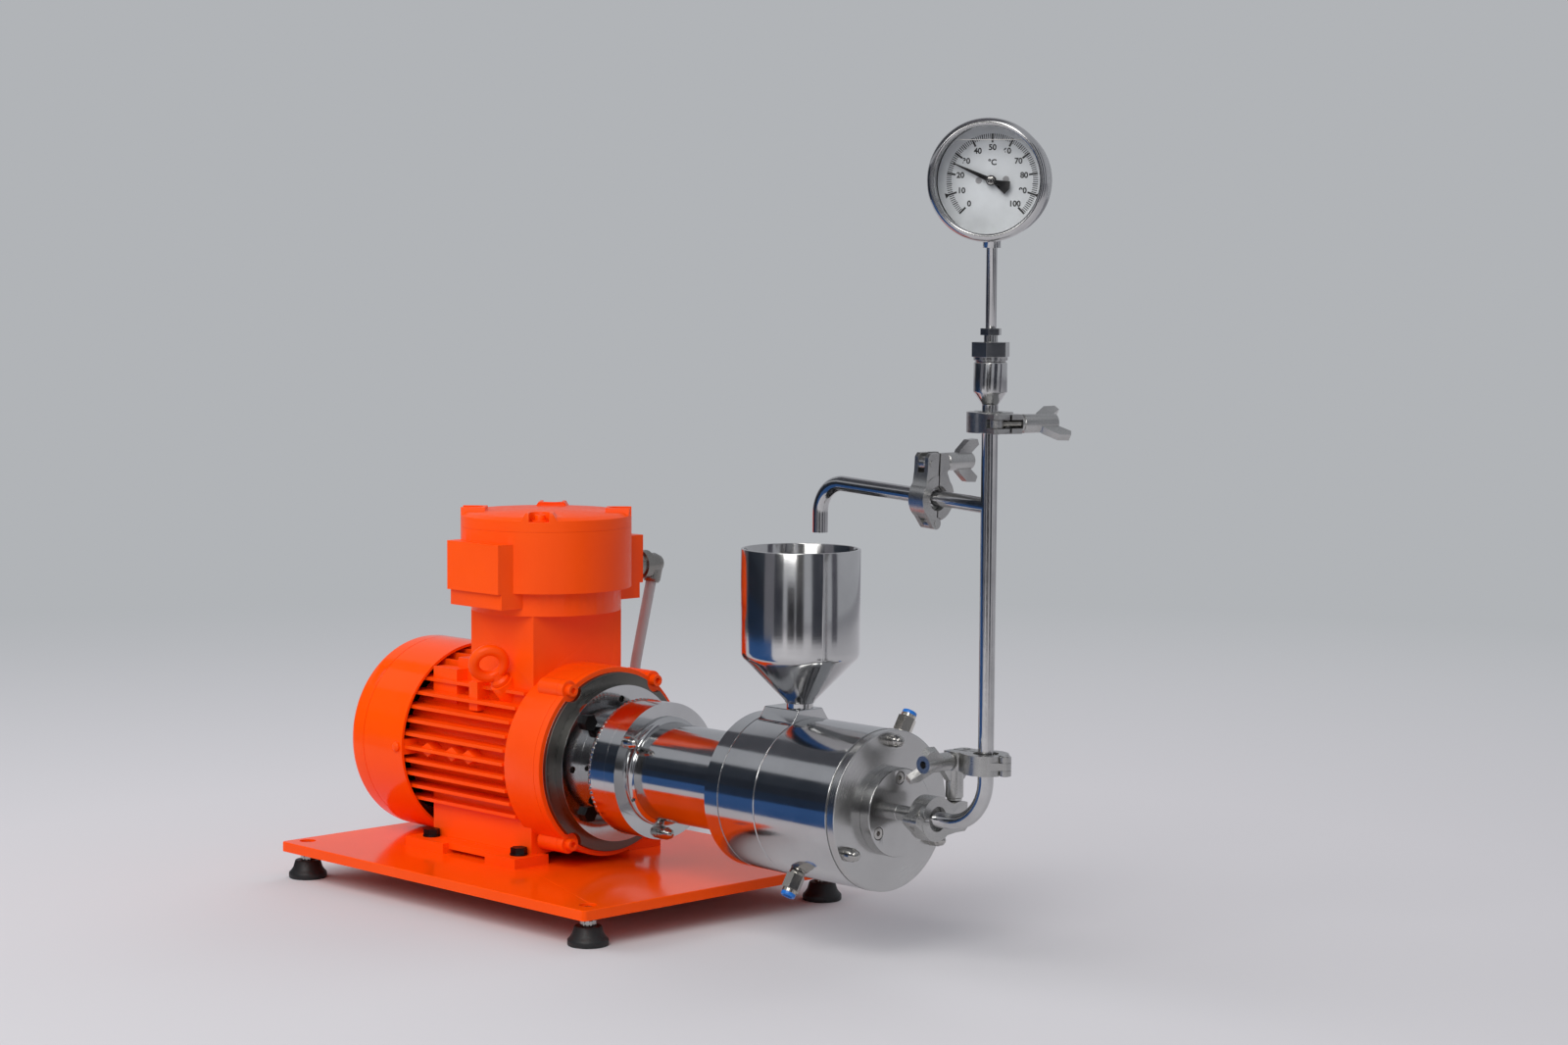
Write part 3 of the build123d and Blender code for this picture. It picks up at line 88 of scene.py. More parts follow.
# power cable: the seen run's listed points, then the put-away coil's turns, then into the plug
cable = {
    "run": [
        (-0.203, 0.1302, 0.2789), (-0.203, 0.1171, 0.227), (-0.203, 0.104, 0.175), (-0.212, 0.131, 0.110),
        (-0.243, 0.176, 0.060), (-0.296, 0.186, 0.0053), (-0.330, 0.184, 0.0053),
    ],
    "centre": (-0.378, 0.243),
    "outer": 0.060,
    "inner": 0.050,
    "low": 0.0053,
    "lift": 0.010,
    "turns": 4,
    "perTurn": 12,
    "inAt": 0.8,               # turns after which the coil steps inward, up and outward
    "upAt": 1.8,
    "outAt": 2.8,
    "stepLong": 0.4,
    "tail": [
        (-0.400, 0.183, 0.0158), (-0.412, 0.183, 0.0200), (-0.424, 0.183, 0.0223), (-0.430, 0.183, 0.0223),
    ],
    "thick": 0.010,
}


def stepped(turns, start):
    # 0 up to the start, then evenly to 1 over the step's length
    return max(0.0, min(1.0, (turns - start) / cable["stepLong"]))


cordPoints = list(cable["run"])
for k in range(cable["turns"] * cable["perTurn"] + 1):
    turns = k / cable["perTurn"]
    angle = math.radians(-90 - 360 * turns)
    # two turns on the table, the second inside the first, then two on top from the inside out
    inward = stepped(turns, cable["inAt"]) - stepped(turns, cable["outAt"])
    radius = cable["outer"] - (cable["outer"] - cable["inner"]) * inward
    x = cable["centre"][0] + radius * math.cos(angle)
    y = cable["centre"][1] + radius * math.sin(angle)
    cordPoints.append((x, y, cable["low"] + cable["lift"] * stepped(turns, cable["upAt"])))
cordPoints += cable["tail"]
cordCurve = bpy.data.curves.new("powerLead", "CURVE")
cordCurve.dimensions = "3D"
spline = cordCurve.splines.new("NURBS")
spline.points.add(len(cordPoints) - 1)
for point, place in zip(spline.points, cordPoints):
    point.co = (*place, 1)
    point.radius = cable["thick"] / 2     # the curve's own box grows by this radius
spline.order_u = 3
spline.use_endpoint_u = True
spline.resolution_u = 8
cordCurve.bevel_depth = 1.0
cordCurve.bevel_resolution = 6
lead = addObject("powerLead", cordCurve)
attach(lead, "frame")
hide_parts("power_cable", "cable_coil")
print("camera and cable done")


def newMaterial(name, colour, metallic, roughness, **sockets):
    material = bpy.data.materials.new(name)
    material.use_nodes = True
    shader = material.node_tree.nodes["Principled BSDF"]
    shader.inputs["Base Color"].default_value = (*colour, 1)
    shader.inputs["Metallic"].default_value = metallic
    shader.inputs["Roughness"].default_value = roughness
    for key, value in sockets.items():
        shader.inputs[key.replace("_", " ")].default_value = value
    return material


def addNode(material, kind, **settings):
    node = material.node_tree.nodes.new(kind)
    for key, value in settings.items():
        setattr(node, key, value)
    return node


def wire(material, source, target):
    material.node_tree.links.new(source, target)


def objectSpace(material):
    return addNode(material, "ShaderNodeTexCoord").outputs["Object"]


def shaderInput(material, name):
    return material.node_tree.nodes["Principled BSDF"].inputs[name]


def noiseField(material, vector, scale, detail, rough=0.5):
    noise = addNode(material, "ShaderNodeTexNoise")
    noise.inputs["Scale"].default_value = scale
    noise.inputs["Detail"].default_value = detail
    noise.inputs["Roughness"].default_value = rough
    wire(material, vector, noise.inputs["Vector"])
    return noise.outputs["Fac"]


noiseBand = (0.3, 0.7)         # where nearly all values of a noise field lie


def spread(material, value, low, high, start=noiseBand[0], end=noiseBand[1]):
    ramp = addNode(material, "ShaderNodeMapRange")
    ramp.inputs["From Min"].default_value = start
    ramp.inputs["From Max"].default_value = end
    ramp.inputs["To Min"].default_value = low
    ramp.inputs["To Max"].default_value = high
    wire(material, value, ramp.inputs["Value"])
    return ramp.outputs["Result"]


def tint(material, value, dark, light):
    ramp = addNode(material, "ShaderNodeValToRGB")
    for element, position, colour in zip(ramp.color_ramp.elements, noiseBand, (dark, light)):
        element.position = position
        element.color = (*colour, 1)
    wire(material, value, ramp.inputs["Fac"])
    return ramp.outputs["Color"]


def relief(material, height, depth):
    # depth in micrometres
    bump = addNode(material, "ShaderNodeBump")
    bump.inputs["Strength"].default_value = 1.0
    bump.inputs["Distance"].default_value = depth * micro
    wire(material, height, bump.inputs["Height"])
    wire(material, bump.outputs["Normal"], shaderInput(material, "Normal"))


def darker(colour, share):
    return tuple(channel * share for channel in colour)


paint = {"patches": (9, 4), "peelDetail": 2, "rough": (0.85, 1.2)}


def paintMaterial(name, dark, light, roughness, grain, depth, gloss):
    # enamel over a casting or sheet: blotchy tone and orange peel
    material = newMaterial(name, light, 0.0, roughness, Specular_IOR_Level=gloss)
    space = objectSpace(material)
    patches = noiseField(material, space, *paint["patches"])
    wire(material, tint(material, patches, dark, light), shaderInput(material, "Base Color"))
    peel = noiseField(material, space, grain, paint["peelDetail"])
    low, high = paint["rough"]
    rough = spread(material, peel, roughness * low, roughness * high)
    wire(material, rough, shaderInput(material, "Roughness"))
    relief(material, peel, depth)
    return material


turned = {
    "smudge": (22, 5, 0.6), "marksDetail": 2, "marksShare": 0.4,
    "rough": (0.7, 1.4), "roughBand": (0.5, 1.0), "dark": 0.86,
}


def turnedMaterial(name, colour, roughness, lines, depth, uprightAt=None):
    # lathe marks: noise of the distance from the axis plus the way along it; the axis is the mill's
    # own, or an upright one at the given x
    material = newMaterial(name, colour, 1.0, roughness)
    space = objectSpace(material)
    split = addNode(material, "ShaderNodeSeparateXYZ")
    wire(material, space, split.inputs["Vector"])
    join = addNode(material, "ShaderNodeCombineXYZ")
    shift = addNode(material, "ShaderNodeMath", operation="SUBTRACT")
    shift.inputs[1].default_value = axisZ if uprightAt is None else uprightAt
    outward, along = ("Z", "X") if uprightAt is None else ("X", "Z")
    wire(material, split.outputs[outward], shift.inputs[0])
    wire(material, shift.outputs[0], join.inputs["X"])
    wire(material, split.outputs["Y"], join.inputs["Y"])
    radius = addNode(material, "ShaderNodeVectorMath", operation="LENGTH")
    wire(material, join.outputs["Vector"], radius.inputs[0])
    total = addNode(material, "ShaderNodeMath", operation="ADD")
    wire(material, radius.outputs["Value"], total.inputs[0])
    wire(material, split.outputs[along], total.inputs[1])
    marks = addNode(material, "ShaderNodeTexNoise", noise_dimensions="1D")
    marks.inputs["Scale"].default_value = lines
    marks.inputs["Detail"].default_value = turned["marksDetail"]
    wire(material, total.outputs[0], marks.inputs["W"])
    smudge = noiseField(material, space, *turned["smudge"])
    mixed = addNode(material, "ShaderNodeMath", operation="MULTIPLY_ADD")
    wire(material, marks.outputs["Fac"], mixed.inputs[0])
    mixed.inputs[1].default_value = turned["marksShare"]
    wire(material, smudge, mixed.inputs[2])
    low, high = turned["rough"]
    rough = spread(material, mixed.outputs[0], roughness * low, roughness * high, *turned["roughBand"])
    wire(material, rough, shaderInput(material, "Roughness"))
    dark = darker(colour, turned["dark"])
    wire(material, tint(material, smudge, dark, colour), shaderInput(material, "Base Color"))
    relief(material, marks.outputs["Fac"], depth)
    return material


cast = {"tone": (35, 4), "fineDetail": 2, "rough": (0.8, 1.25), "dark": 0.82}


def castMaterial(name, colour, roughness, grain, depth, metallic=1.0):
    # tumbled castings, moulded plastic and rubber: even fine grain over slow tone changes
    material = newMaterial(name, colour, metallic, roughness)
    space = objectSpace(material)
    tone = noiseField(material, space, *cast["tone"])
    dark = darker(colour, cast["dark"])
    wire(material, tint(material, tone, dark, colour), shaderInput(material, "Base Color"))
    fine = noiseField(material, space, grain, cast["fineDetail"])
    low, high = cast["rough"]
    rough = spread(material, fine, roughness * low, roughness * high)
    wire(material, rough, shaderInput(material, "Roughness"))
    relief(material, fine, depth)
    return material


# colour, roughness, grain or lathe lines as a noise scale, and relief in micrometres
orangeCast = paintMaterial("orangeCast", (0.92, 0.068, 0.001), (1.0, 0.088, 0.001), 0.36, 260, 40, gloss=0.2)
orangeSheet = paintMaterial("orangeSheet", (0.95, 0.075, 0.001), (1.0, 0.086, 0.001), 0.12, 90, 4, gloss=0.14)
turnedSteel = turnedMaterial("turnedSteel", (0.56, 0.56, 0.555), 0.22, 1800, 5)
brightSteel = turnedMaterial("brightSteel", (0.6, 0.605, 0.61), 0.12, 1500, 2)
oldSteel = turnedMaterial("oldSteel", (0.17, 0.165, 0.15), 0.36, 1200, 5)
hopperSteel = turnedMaterial("hopperSteel", (0.62, 0.62, 0.62), 0.14, 900, 3, uprightAt=hopperX * milli)
pipeSteel = castMaterial("pipeSteel", (0.6, 0.6, 0.6), 0.14, 300, 3)
clampSteel = castMaterial("clampSteel", (0.52, 0.52, 0.51), 0.3, 1500, 10)
blackOxide = castMaterial("blackOxide", (0.035, 0.035, 0.037), 0.42, 1800, 10)
brightNut = castMaterial("brightNut", (0.5, 0.49, 0.47), 0.15, 500, 3)
weldSteel = castMaterial("weldSteel", (0.6, 0.58, 0.55), 0.16, 700, 20)
nickel = castMaterial("nickel", (0.56, 0.53, 0.48), 0.2, 60, 0.5)
glandMetal = castMaterial("glandMetal", (0.3, 0.29, 0.27), 0.3, 900, 6)
darkRubber = castMaterial("darkRubber", (0.012, 0.012, 0.013), 0.5, 900, 30, metallic=0.0)
cableGrey = castMaterial("cableGrey", (0.5, 0.47, 0.47), 0.45, 500, 20, metallic=0.0)
blackPlastic = castMaterial("blackPlastic", (0.02, 0.02, 0.022), 0.35, 800, 20, metallic=0.0)
whitePolymer = castMaterial("whitePolymer", (0.75, 0.73, 0.68), 0.4, 600, 20, metallic=0.0)
bluePlastic = castMaterial("bluePlastic", (0.008, 0.17, 0.62), 0.3, 500, 10, metallic=0.0)
dialWhite = castMaterial("dialWhite", (0.62, 0.65, 0.67), 0.45, 400, 2, metallic=0.0)
dialBlack = castMaterial("dialBlack", (0.012, 0.012, 0.013), 0.4, 400, 2, metallic=0.0)
dialGrey = castMaterial("dialGrey", (0.3, 0.3, 0.31), 0.4, 400, 2, metallic=0.0)
windowGlass = newMaterial("windowGlass", (1, 1, 1), 0.0, 0.02, IOR=1.1, Transmission_Weight=1.0, Alpha=0.05)
cordCurve.materials.append(cableGrey)

# solids that keep their own mesh
finish = {
    oldSteel: ["stator_core", "motor_rotor", "bearings", "shaft_coupling", "mill_shaft"],
    turnedSteel: ["shaft_seal", "chamber_liner"],
    brightNut: ["separator_screen"],
    blackPlastic: ["cooling_fan"],
    whitePolymer: ["agitator_discs"],
    darkRubber: ["clamp_gaskets"],
    windowGlass: ["gauge_glass"],
}
for material, names in finish.items():
    for name in names:
        for slot in nodes[name].material_slots:
            slot.material = material
print("materials done")


def settle(name, mesh, material, body, slotName, sharp=30.0, width=0.0, limited=True, stands=()):
    # merges the mesh's doubles, turns its faces outward, smooths it up to the sharp angle in degrees,
    # rounds sharper edges to the width in mm and puts the piece on its body
    work = bmesh.new()
    work.from_mesh(mesh)
    bmesh.ops.remove_doubles(work, verts=work.verts, dist=mergeWithin)
    bmesh.ops.recalc_face_normals(work, faces=work.faces)
    work.to_mesh(mesh)
    work.free()
    mesh.materials.clear()
    mesh.materials.append(material)
    mesh.shade_smooth()
    mesh.set_sharp_from_angle(angle=math.radians(sharp))
    piece = addObject(name, mesh)
    if width:
        edge = piece.modifiers.new("edge", "BEVEL")
        edge.width = width * milli
        edge.segments = 2
        edge.limit_method = "ANGLE"
        edge.angle_limit = math.radians(sharp)
        edge.harden_normals = True
        edge.use_clamp_overlap = limited
    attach(piece, body)
    if stands:
        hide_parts(*stands)
    return piece


def gridPiece(name, points, wrapRows, material, body, slotName, **rest):
    # quads between neighbouring rows of points; each row closes on itself, the last meets the first if asked
    rows, columns = points.shape[:2]
    index = np.arange(rows * columns).reshape(rows, columns)
    beside = np.roll(index, -1, axis=1)
    faces = np.stack([index, beside, np.roll(beside, -1, axis=0), np.roll(index, -1, axis=0)], axis=-1)
    faces = faces[: rows if wrapRows else rows - 1].reshape(-1, 4)
    mesh = bpy.data.meshes.new(name)
    mesh.from_pydata(points.reshape(-1, 3).tolist(), [], faces.tolist())
    return settle(name, mesh, material, body, slotName, **rest)


def axisFrame(along):
    # a direction and two directions square to it
    along = np.array(along, float)
    along /= np.linalg.norm(along)
    nearlyUpright = abs(along[2]) >= 0.9
    side = np.array((1.0, 0.0, 0.0)) if nearlyUpright else np.cross(along, (0.0, 0.0, 1.0))
    side /= np.linalg.norm(side)
    return along, side, np.cross(along, side)


def ringPoints(origin, along, heights, radii, angle):
    # point = origin + height times the axis + radius times (side times cosine + up times sine); sizes come
    # in mm and points go out in metres
    along, side, up = axisFrame(along)
    ring = np.cos(angle)[:, None] * side + np.sin(angle)[:, None] * up
    rise = heights[:, None, None] * milli * along
    return np.array(origin) * milli + rise + radii[:, :, None] * milli * ring[None]


def fullCircle(steps):
    return np.linspace(0, 2 * np.pi, steps, endpoint=False)


def lathe(name, origin, along, profile, material, body, slotName, steps=64, wrapRows=False, **rest):
    # profile points (distance along the axis, radius) in mm, each turned round the axis as one ring
    shape = np.array(profile, float)
    radii = np.repeat(shape[:, 1:], steps, axis=1)
    points = ringPoints(origin, along, shape[:, 0], radii, fullCircle(steps))
    return gridPiece(name, points, wrapRows, material, body, slotName, **rest)


hexagon = {"steps": 96, "endCircle": 0.9}


def hexPiece(name, origin, along, flats, height, spin, material, body, slotName):
    # hexagon bar: radius is half the flats over the cosine from the flat's middle, cut by a cone at both ends
    angle = fullCircle(hexagon["steps"])
    flat = flats / 2 / np.cos(np.mod(angle + spin, np.pi / 3) - np.pi / 6)
    corner = flats / 2 / math.cos(math.pi / 6)
    cut = corner - flats / 2
    end = corner - cut * hexagon["endCircle"]
    heights = np.array([0, 0, cut / 2, height - cut / 2, height, height])
    limits = np.array([0, end, corner, corner, end, 0])
    radii = np.minimum(flat[None, :], limits[:, None])
    return gridPiece(name, ringPoints(origin, along, heights, radii, angle), False, material, body, slotName)


thread = {"steps": 32, "perPitch": 8, "deep": 0.55, "endDeep": 0.3, "endLong": 0.5}     # shares of the pitch


def threadPiece(name, origin, along, radius, length, pitch, material, body, slotName, **rest):
    # threaded rod: radius falls in a V with the height over the pitch less the turn's share of a full turn
    angle = fullCircle(thread["steps"])
    heights = np.linspace(0, length, int(length / pitch * thread["perPitch"]) + 1)
    phase = np.mod(heights[:, None] / pitch - angle[None, :] / (2 * np.pi), 1.0)
    wave = np.abs(2 * phase - 1)
    endLong = pitch * thread["endLong"]
    atEnd = (heights < endLong) | (heights > length - endLong)
    depth = np.where(atEnd, thread["endDeep"], thread["deep"]) * pitch
    radii = radius - depth[:, None] * (1 - wave)
    centre = np.zeros((1, thread["steps"]))
    heights = np.concatenate(([0.0], heights, [length]))
    points = ringPoints(origin, along, heights, np.concatenate((centre, radii, centre)), angle)
    return gridPiece(name, points, False, material, body, slotName, **rest)


flatWithin = math.radians(0.3)


def softCopy(name, material, width, limited=True):
    # the solid's own shape with merged points, flat faces joined and rounded edges
    mesh = nodes[name].data.copy()
    mesh.transform(nodes[name].matrix_world)
    work = bmesh.new()
    work.from_mesh(mesh)
    bmesh.ops.remove_doubles(work, verts=work.verts, dist=mergeWithin)
    bmesh.ops.dissolve_limit(work, angle_limit=flatWithin, verts=work.verts, edges=work.edges)
    work.to_mesh(mesh)
    work.free()
    rest = {"width": width, "limited": limited, "stands": (name,)}
    return settle(name + "Soft", mesh, material, bodyOf[name], slotOf[name], **rest)


# rounded width in mm of each solid's edges
softened = {
    orangeCast: {
        "motor_frame": 1.2, "drive_end_shield": 0.6, "terminal_box": 2.4, "terminal_box_lid": 1.6,
        "motor_screws": 0.5,
    },
    orangeSheet: {"base_plate": 0.6, "fan_cowl": 0.0},
    turnedSteel: {"front_cover": 0.9, "outlet_flange": 0.5, "compression_fitting": 0.35},
    brightSteel: {"adapter": 0.5, "cooling_jacket": 1.0, "inlet_ring": 1.0, "bearing_housing": 0.7},
    pipeSteel: {
        "elbow_pipe": 0.0, "riser_pipe": 0.0, "spout_pipe": 0.0, "thermometer_socket": 0.3, "gauge_case": 0.3,
    },
    clampSteel: {"fixed_jaws": 0.9},
    blackOxide: {"hex_bolts": 0.4},
    brightNut: {"mill_fasteners": 0.25},
    glandMetal: {"cable_gland": 0.4},
    blackPlastic: {"cable_plug": 1.0},
    dialWhite: {"gauge_dial": 0.0},
    dialBlack: {"gauge_pointer": 0.0},
}
for clamp in ("outlet", "riser", "arm", "top"):
    softened[clampSteel][clamp + "_clamp_jaw"] = 0.9
    softened[clampSteel][clamp + "_wing_nut"] = 1.0
# the mill's rims keep their full width, so the seams between them show
fullRims = ("cooling_jacket", "inlet_ring", "front_cover")
made = {}
for material, widths in softened.items():
    for name, width in widths.items():
        made[name] = softCopy(name, material, width, limited=name not in fullRims)

# the end shield's machined face ahead of the paint is bare and oxidised
shield = {"bareFrom": -0.1124}
rim = made["drive_end_shield"].data
rim.materials.append(oldSteel)
middles = np.empty(len(rim.polygons) * 3)
rim.polygons.foreach_get("center", middles)
rim.polygons.foreach_set("material_index", (middles[0::3] > shield["bareFrom"]).astype(np.int32))
print("soft copies done")


def thinPlates(name, sideways, upwards, origin, outlines, height, material, body, slotName):
    # plates of one corner count: outlines (plates, corners, 2) in mm raised by the height along the normal
    outlines = np.array(outlines, float) * milli
    sideways, upwards = np.array(sideways, float), np.array(upwards, float)
    flat = outlines[..., 0:1] * sideways + outlines[..., 1:2] * upwards + np.array(origin) * milli
    points = np.stack([flat, flat + np.cross(sideways, upwards) * height * milli], axis=1)
    plates, _, corners, _ = points.shape
    index = np.arange(plates * 2 * corners).reshape(plates, 2, corners)
    low, high = index[:, 0], index[:, 1]
    sides = np.stack([low, np.roll(low, -1, axis=1), np.roll(high, -1, axis=1), high], axis=-1)
    faces = sides.reshape(-1, 4).tolist() + high.tolist() + low[:, ::-1].tolist()
    mesh = bpy.data.meshes.new(name)
    mesh.from_pydata(points.reshape(-1, 3).tolist(), [], faces)
    return settle(name, mesh, material, body, slotName)


def lettering(name, marks, sideways, upwards, origin, tall, bold, height, material, body, slotName):
    # marks are (text, x, y) in mm, each set in the middle of its place
    turnText = Matrix((sideways, upwards, sideways.cross(upwards))).transposed().to_4x4()
    work = bmesh.new()
    for text, x, y in marks:
        curve = bpy.data.curves.new(name, "FONT")
        curve.body = text
        curve.size = tall * milli
        curve.align_x = "CENTER"
        curve.align_y = "CENTER"
        curve.extrude = height * milli / 2
        curve.offset = bold * milli
        holder = addObject(name + "Text", curve)
        bpy.context.view_layer.update()
        shown = holder.evaluated_get(bpy.context.evaluated_depsgraph_get())
        mesh = bpy.data.meshes.new_from_object(shown)
        bpy.data.objects.remove(holder)
        start = origin * milli + sideways * x * milli + upwards * y * milli
        mesh.transform(Matrix.Translation(start) @ turnText)
        work.from_mesh(mesh)
    whole = bpy.data.meshes.new(name)
    work.to_mesh(whole)
    work.free()
    return settle(name, whole, material, body, slotName)


# power cable's tie: a strap with rounded corners round the bundle on the coil's far side, in mm
tie = {"middle": (53.13, 10.3), "half": (9.87, 10.02), "corner": 4.5, "thick": 0.25, "wide": 9.0, "steps": 64}
corner = np.stack([np.cos(fullCircle(tie["steps"])), np.sin(fullCircle(tie["steps"]))], axis=-1)
straight = np.sign(np.round(corner, 6)) * (np.array(tie["half"]) - tie["corner"])
layers = (0.0, tie["thick"], tie["thick"], 0.0)
strap = np.stack([straight + corner * (tie["corner"] + grow) for grow in layers])
across = np.array([-0.5, -0.5, 0.5, 0.5]) * tie["wide"]
strapPoints = np.concatenate([np.broadcast_to(across[:, None, None], (4, tie["steps"], 1)), strap], axis=-1)
coilX, coilY = cable["centre"]
strapPoints = strapPoints + np.array([coilX / milli, coilY / milli + tie["middle"][0], tie["middle"][1]])
cableTie = gridPiece("cableTie", strapPoints * milli, True, darkRubber, "frame", "cable_jacket", sharp=40)
print("tie done")

# levelling feet: black pad, bright lock nut (start, flats, height, turn in radians) and threaded stud
# (start, radius, height, pitch)
foot = {
    "x": {"rear": -380.0, "front": 16.0},
    "y": {"near": -139.0, "far": 139.0},
    "pad": [
        (0, 0), (0, 16.6), (0.6, 17.3), (1.2, 17.5), (4.6, 17.5), (5.3, 17.2), (7, 15.5), (10, 13.5),
        (15.8, 11.8), (16.5, 11.2), (16.5, 0),
    ],
    "padSteps": 96,
    "nut": (16.5, 12.0, 5.0, 0.3),
    "stud": (21.4, 4.0, 11.1, 1.25),
}
metalSlot = slotOf["mill_fasteners"]
for along, x in foot["x"].items():
    for side, y in foot["y"].items():
        name = f"{along}_{side}_foot"
        rest = {"steps": foot["padSteps"], "stands": (name,)}
        lathe(name + "Pad", (x, y, 0), upright, foot["pad"], darkRubber, name, slotOf[name], **rest)
        start, flats, tall, spin = foot["nut"]
        hexPiece(name + "Nut", (x, y, start), upright, flats, tall, spin, brightNut, name, metalSlot)
        start, radius, tall, pitch = foot["stud"]
        threadPiece(name + "Stud", (x, y, start), upright, radius, tall, pitch, brightNut, name, metalSlot)
print("feet done")

# lifting eye: turned foot and a round ring that faces the operator's side
eye = {
    "x": -197.0,
    "lean": math.radians(130),
    "foot": 90.0,
    "ring": 112.5,
    "major": 13.6,
    "minor": 5.0,
    "steps": (96, 24),
    "turned": (0.8, 0.6),      # cosine and sine of the ring's turn about its foot
    "shape": [(0, 0), (0, 8.2), (0.6, 8.8), (3.4, 8.8), (4.2, 8.0), (5.5, 6.2), (9, 5.6), (12, 5.4), (12, 0)],
}
eyeSlot = slotOf["lifting_eye"]
eyeUp = np.array((0, math.cos(eye["lean"]), math.sin(eye["lean"])))
eyeFoot = np.array((eye["x"], 0, axisHigh)) + eyeUp * eye["foot"]
lathe("eyeFoot", eyeFoot, eyeUp, eye["shape"], orangeCast, "frame", eyeSlot, stands=("lifting_eye",))
cosine, sine = eye["turned"]
eyeFace = np.array((cosine, -sine * eyeUp[2], sine * eyeUp[1]))
eyeMiddle = eyeFoot + eyeUp * (eye["ring"] - eye["foot"])
loop = fullCircle(eye["steps"][1])
eyeRing = np.column_stack((eye["minor"] * np.sin(loop), eye["major"] + eye["minor"] * np.cos(loop)))
rest = {"steps": eye["steps"][0], "wrapRows": True, "sharp": 60}
lathe("eyeRing", eyeMiddle, eyeFace, eyeRing, orangeCast, "frame", eyeSlot, **rest)
print("eye done")

# weld bead between adapter hub and ring: torus round the shaft whose small radius ripples and swells;
# waves are (height, count, phase), and the ripple's third value skews it with the section's angle
weld = {
    "x": -73.5,
    "major": 57.2,
    "minor": 3.45,
    "steps": (1008, 20),
    "ripple": (0.28, 84, 1.2),
    "wander": ((0.25, 5, 1.0), (0.18, 13, 0.0)),
    "swell": (0.2, 7, 2.0),
    "sway": 0.35,
}
around = fullCircle(weld["steps"][0])[:, None]
section = fullCircle(weld["steps"][1])[None, :]
wander = sum(high * np.sin(count * around + phase) for high, count, phase in weld["wander"])
high, count, skew = weld["ripple"]
minor = weld["minor"] + high * np.cos(count * around + skew * np.cos(section))
high, count, phase = weld["swell"]
minor = minor + high * np.sin(count * around + phase)
radius = weld["major"] + weld["sway"] * wander + minor * np.sin(section)
beadX = weld["x"] + wander + minor * np.cos(section)
beadPoints = np.stack([beadX, radius * np.cos(around), axisHigh + radius * np.sin(around)], axis=-1)
gridPiece("weldBead", beadPoints * milli, True, weldSteel, "frame", slotOf["adapter"], sharp=60)
print("weld done")

# hopper: turned shell with a rounded rim; a thin welded seam, a bell curve of the way round, stands
# on its outside above the neck
hopper = {
    "steps": 720,
    "seamAt": math.radians(-23),
    "seamHigh": 0.22,
    "seamWide": 1.0,
    "wallRadius": 50.0,
    "neckRadius": 14.0,
    "outside": [
        (199, 11.3), (203, 11.3), (203.4, 12.2), (204.2, 12.7), (205.5, 13.4), (208, 15.8), (238, 45.3),
        (240.5, 47.8), (242.5, 49.2), (245, 49.9), (248, 50.1), (332.4, 50.1), (332.8, 49.9),
    ],
    "inside": [(333, 49.3), (333, 48.3), (332.8, 47.8), (332.4, 47.6), (248, 47.6), (243, 46.5), (203, 8)],
}
heights, radii = np.array(hopper["outside"] + hopper["inside"]).T
around = fullCircle(hopper["steps"])
away = (np.mod(around - hopper["seamAt"] + np.pi, 2 * np.pi) - np.pi) * hopper["wallRadius"]
seam = hopper["seamHigh"] * np.exp(-((away / hopper["seamWide"]) ** 2))
onWall = (np.arange(len(radii)) < len(hopper["outside"]) - 1) & (radii > hopper["neckRadius"])
radius = radii[:, None] + seam[None, :] * onWall[:, None]
shellZ = np.repeat(heights[:, None], hopper["steps"], axis=1)
shell = np.stack([hopperX + radius * np.cos(around), radius * np.sin(around), shellZ], axis=-1)
rest = {"sharp": 40, "stands": ("hopper",)}
gridPiece("hopperShell", shell * milli, True, hopperSteel, "frame", slotOf["hopper"], **rest)
print("hopper done")

# coolant fittings: the solid's body with a bright blue release ring round the hose hole
fitting = {
    "rounding": 0.35,
    "places": ((209.0, 58.0), (160.0, 238.0)),     # x and degrees round the mill's axis
    "ring": [(84.9, 4.05), (84.9, 6.2), (87.4, 6.2), (88.2, 5.9), (88.5, 5.2), (88.3, 4.5), (87.9, 4.05)],
}
softCopy("coolant_fittings", nickel, fitting["rounding"])
fittingSlot = slotOf["coolant_fittings"]
for k, (x, degrees) in enumerate(fitting["places"]):
    out = (0, math.cos(math.radians(degrees)), math.sin(math.radians(degrees)))
    ring = fitting["ring"]
    rest = {"wrapRows": True, "sharp": 50}
    lathe(f"releaseRing{k}", (x, 0, axisHigh), out, ring, bluePlastic, "frame", fittingSlot, **rest)
print("fittings done")

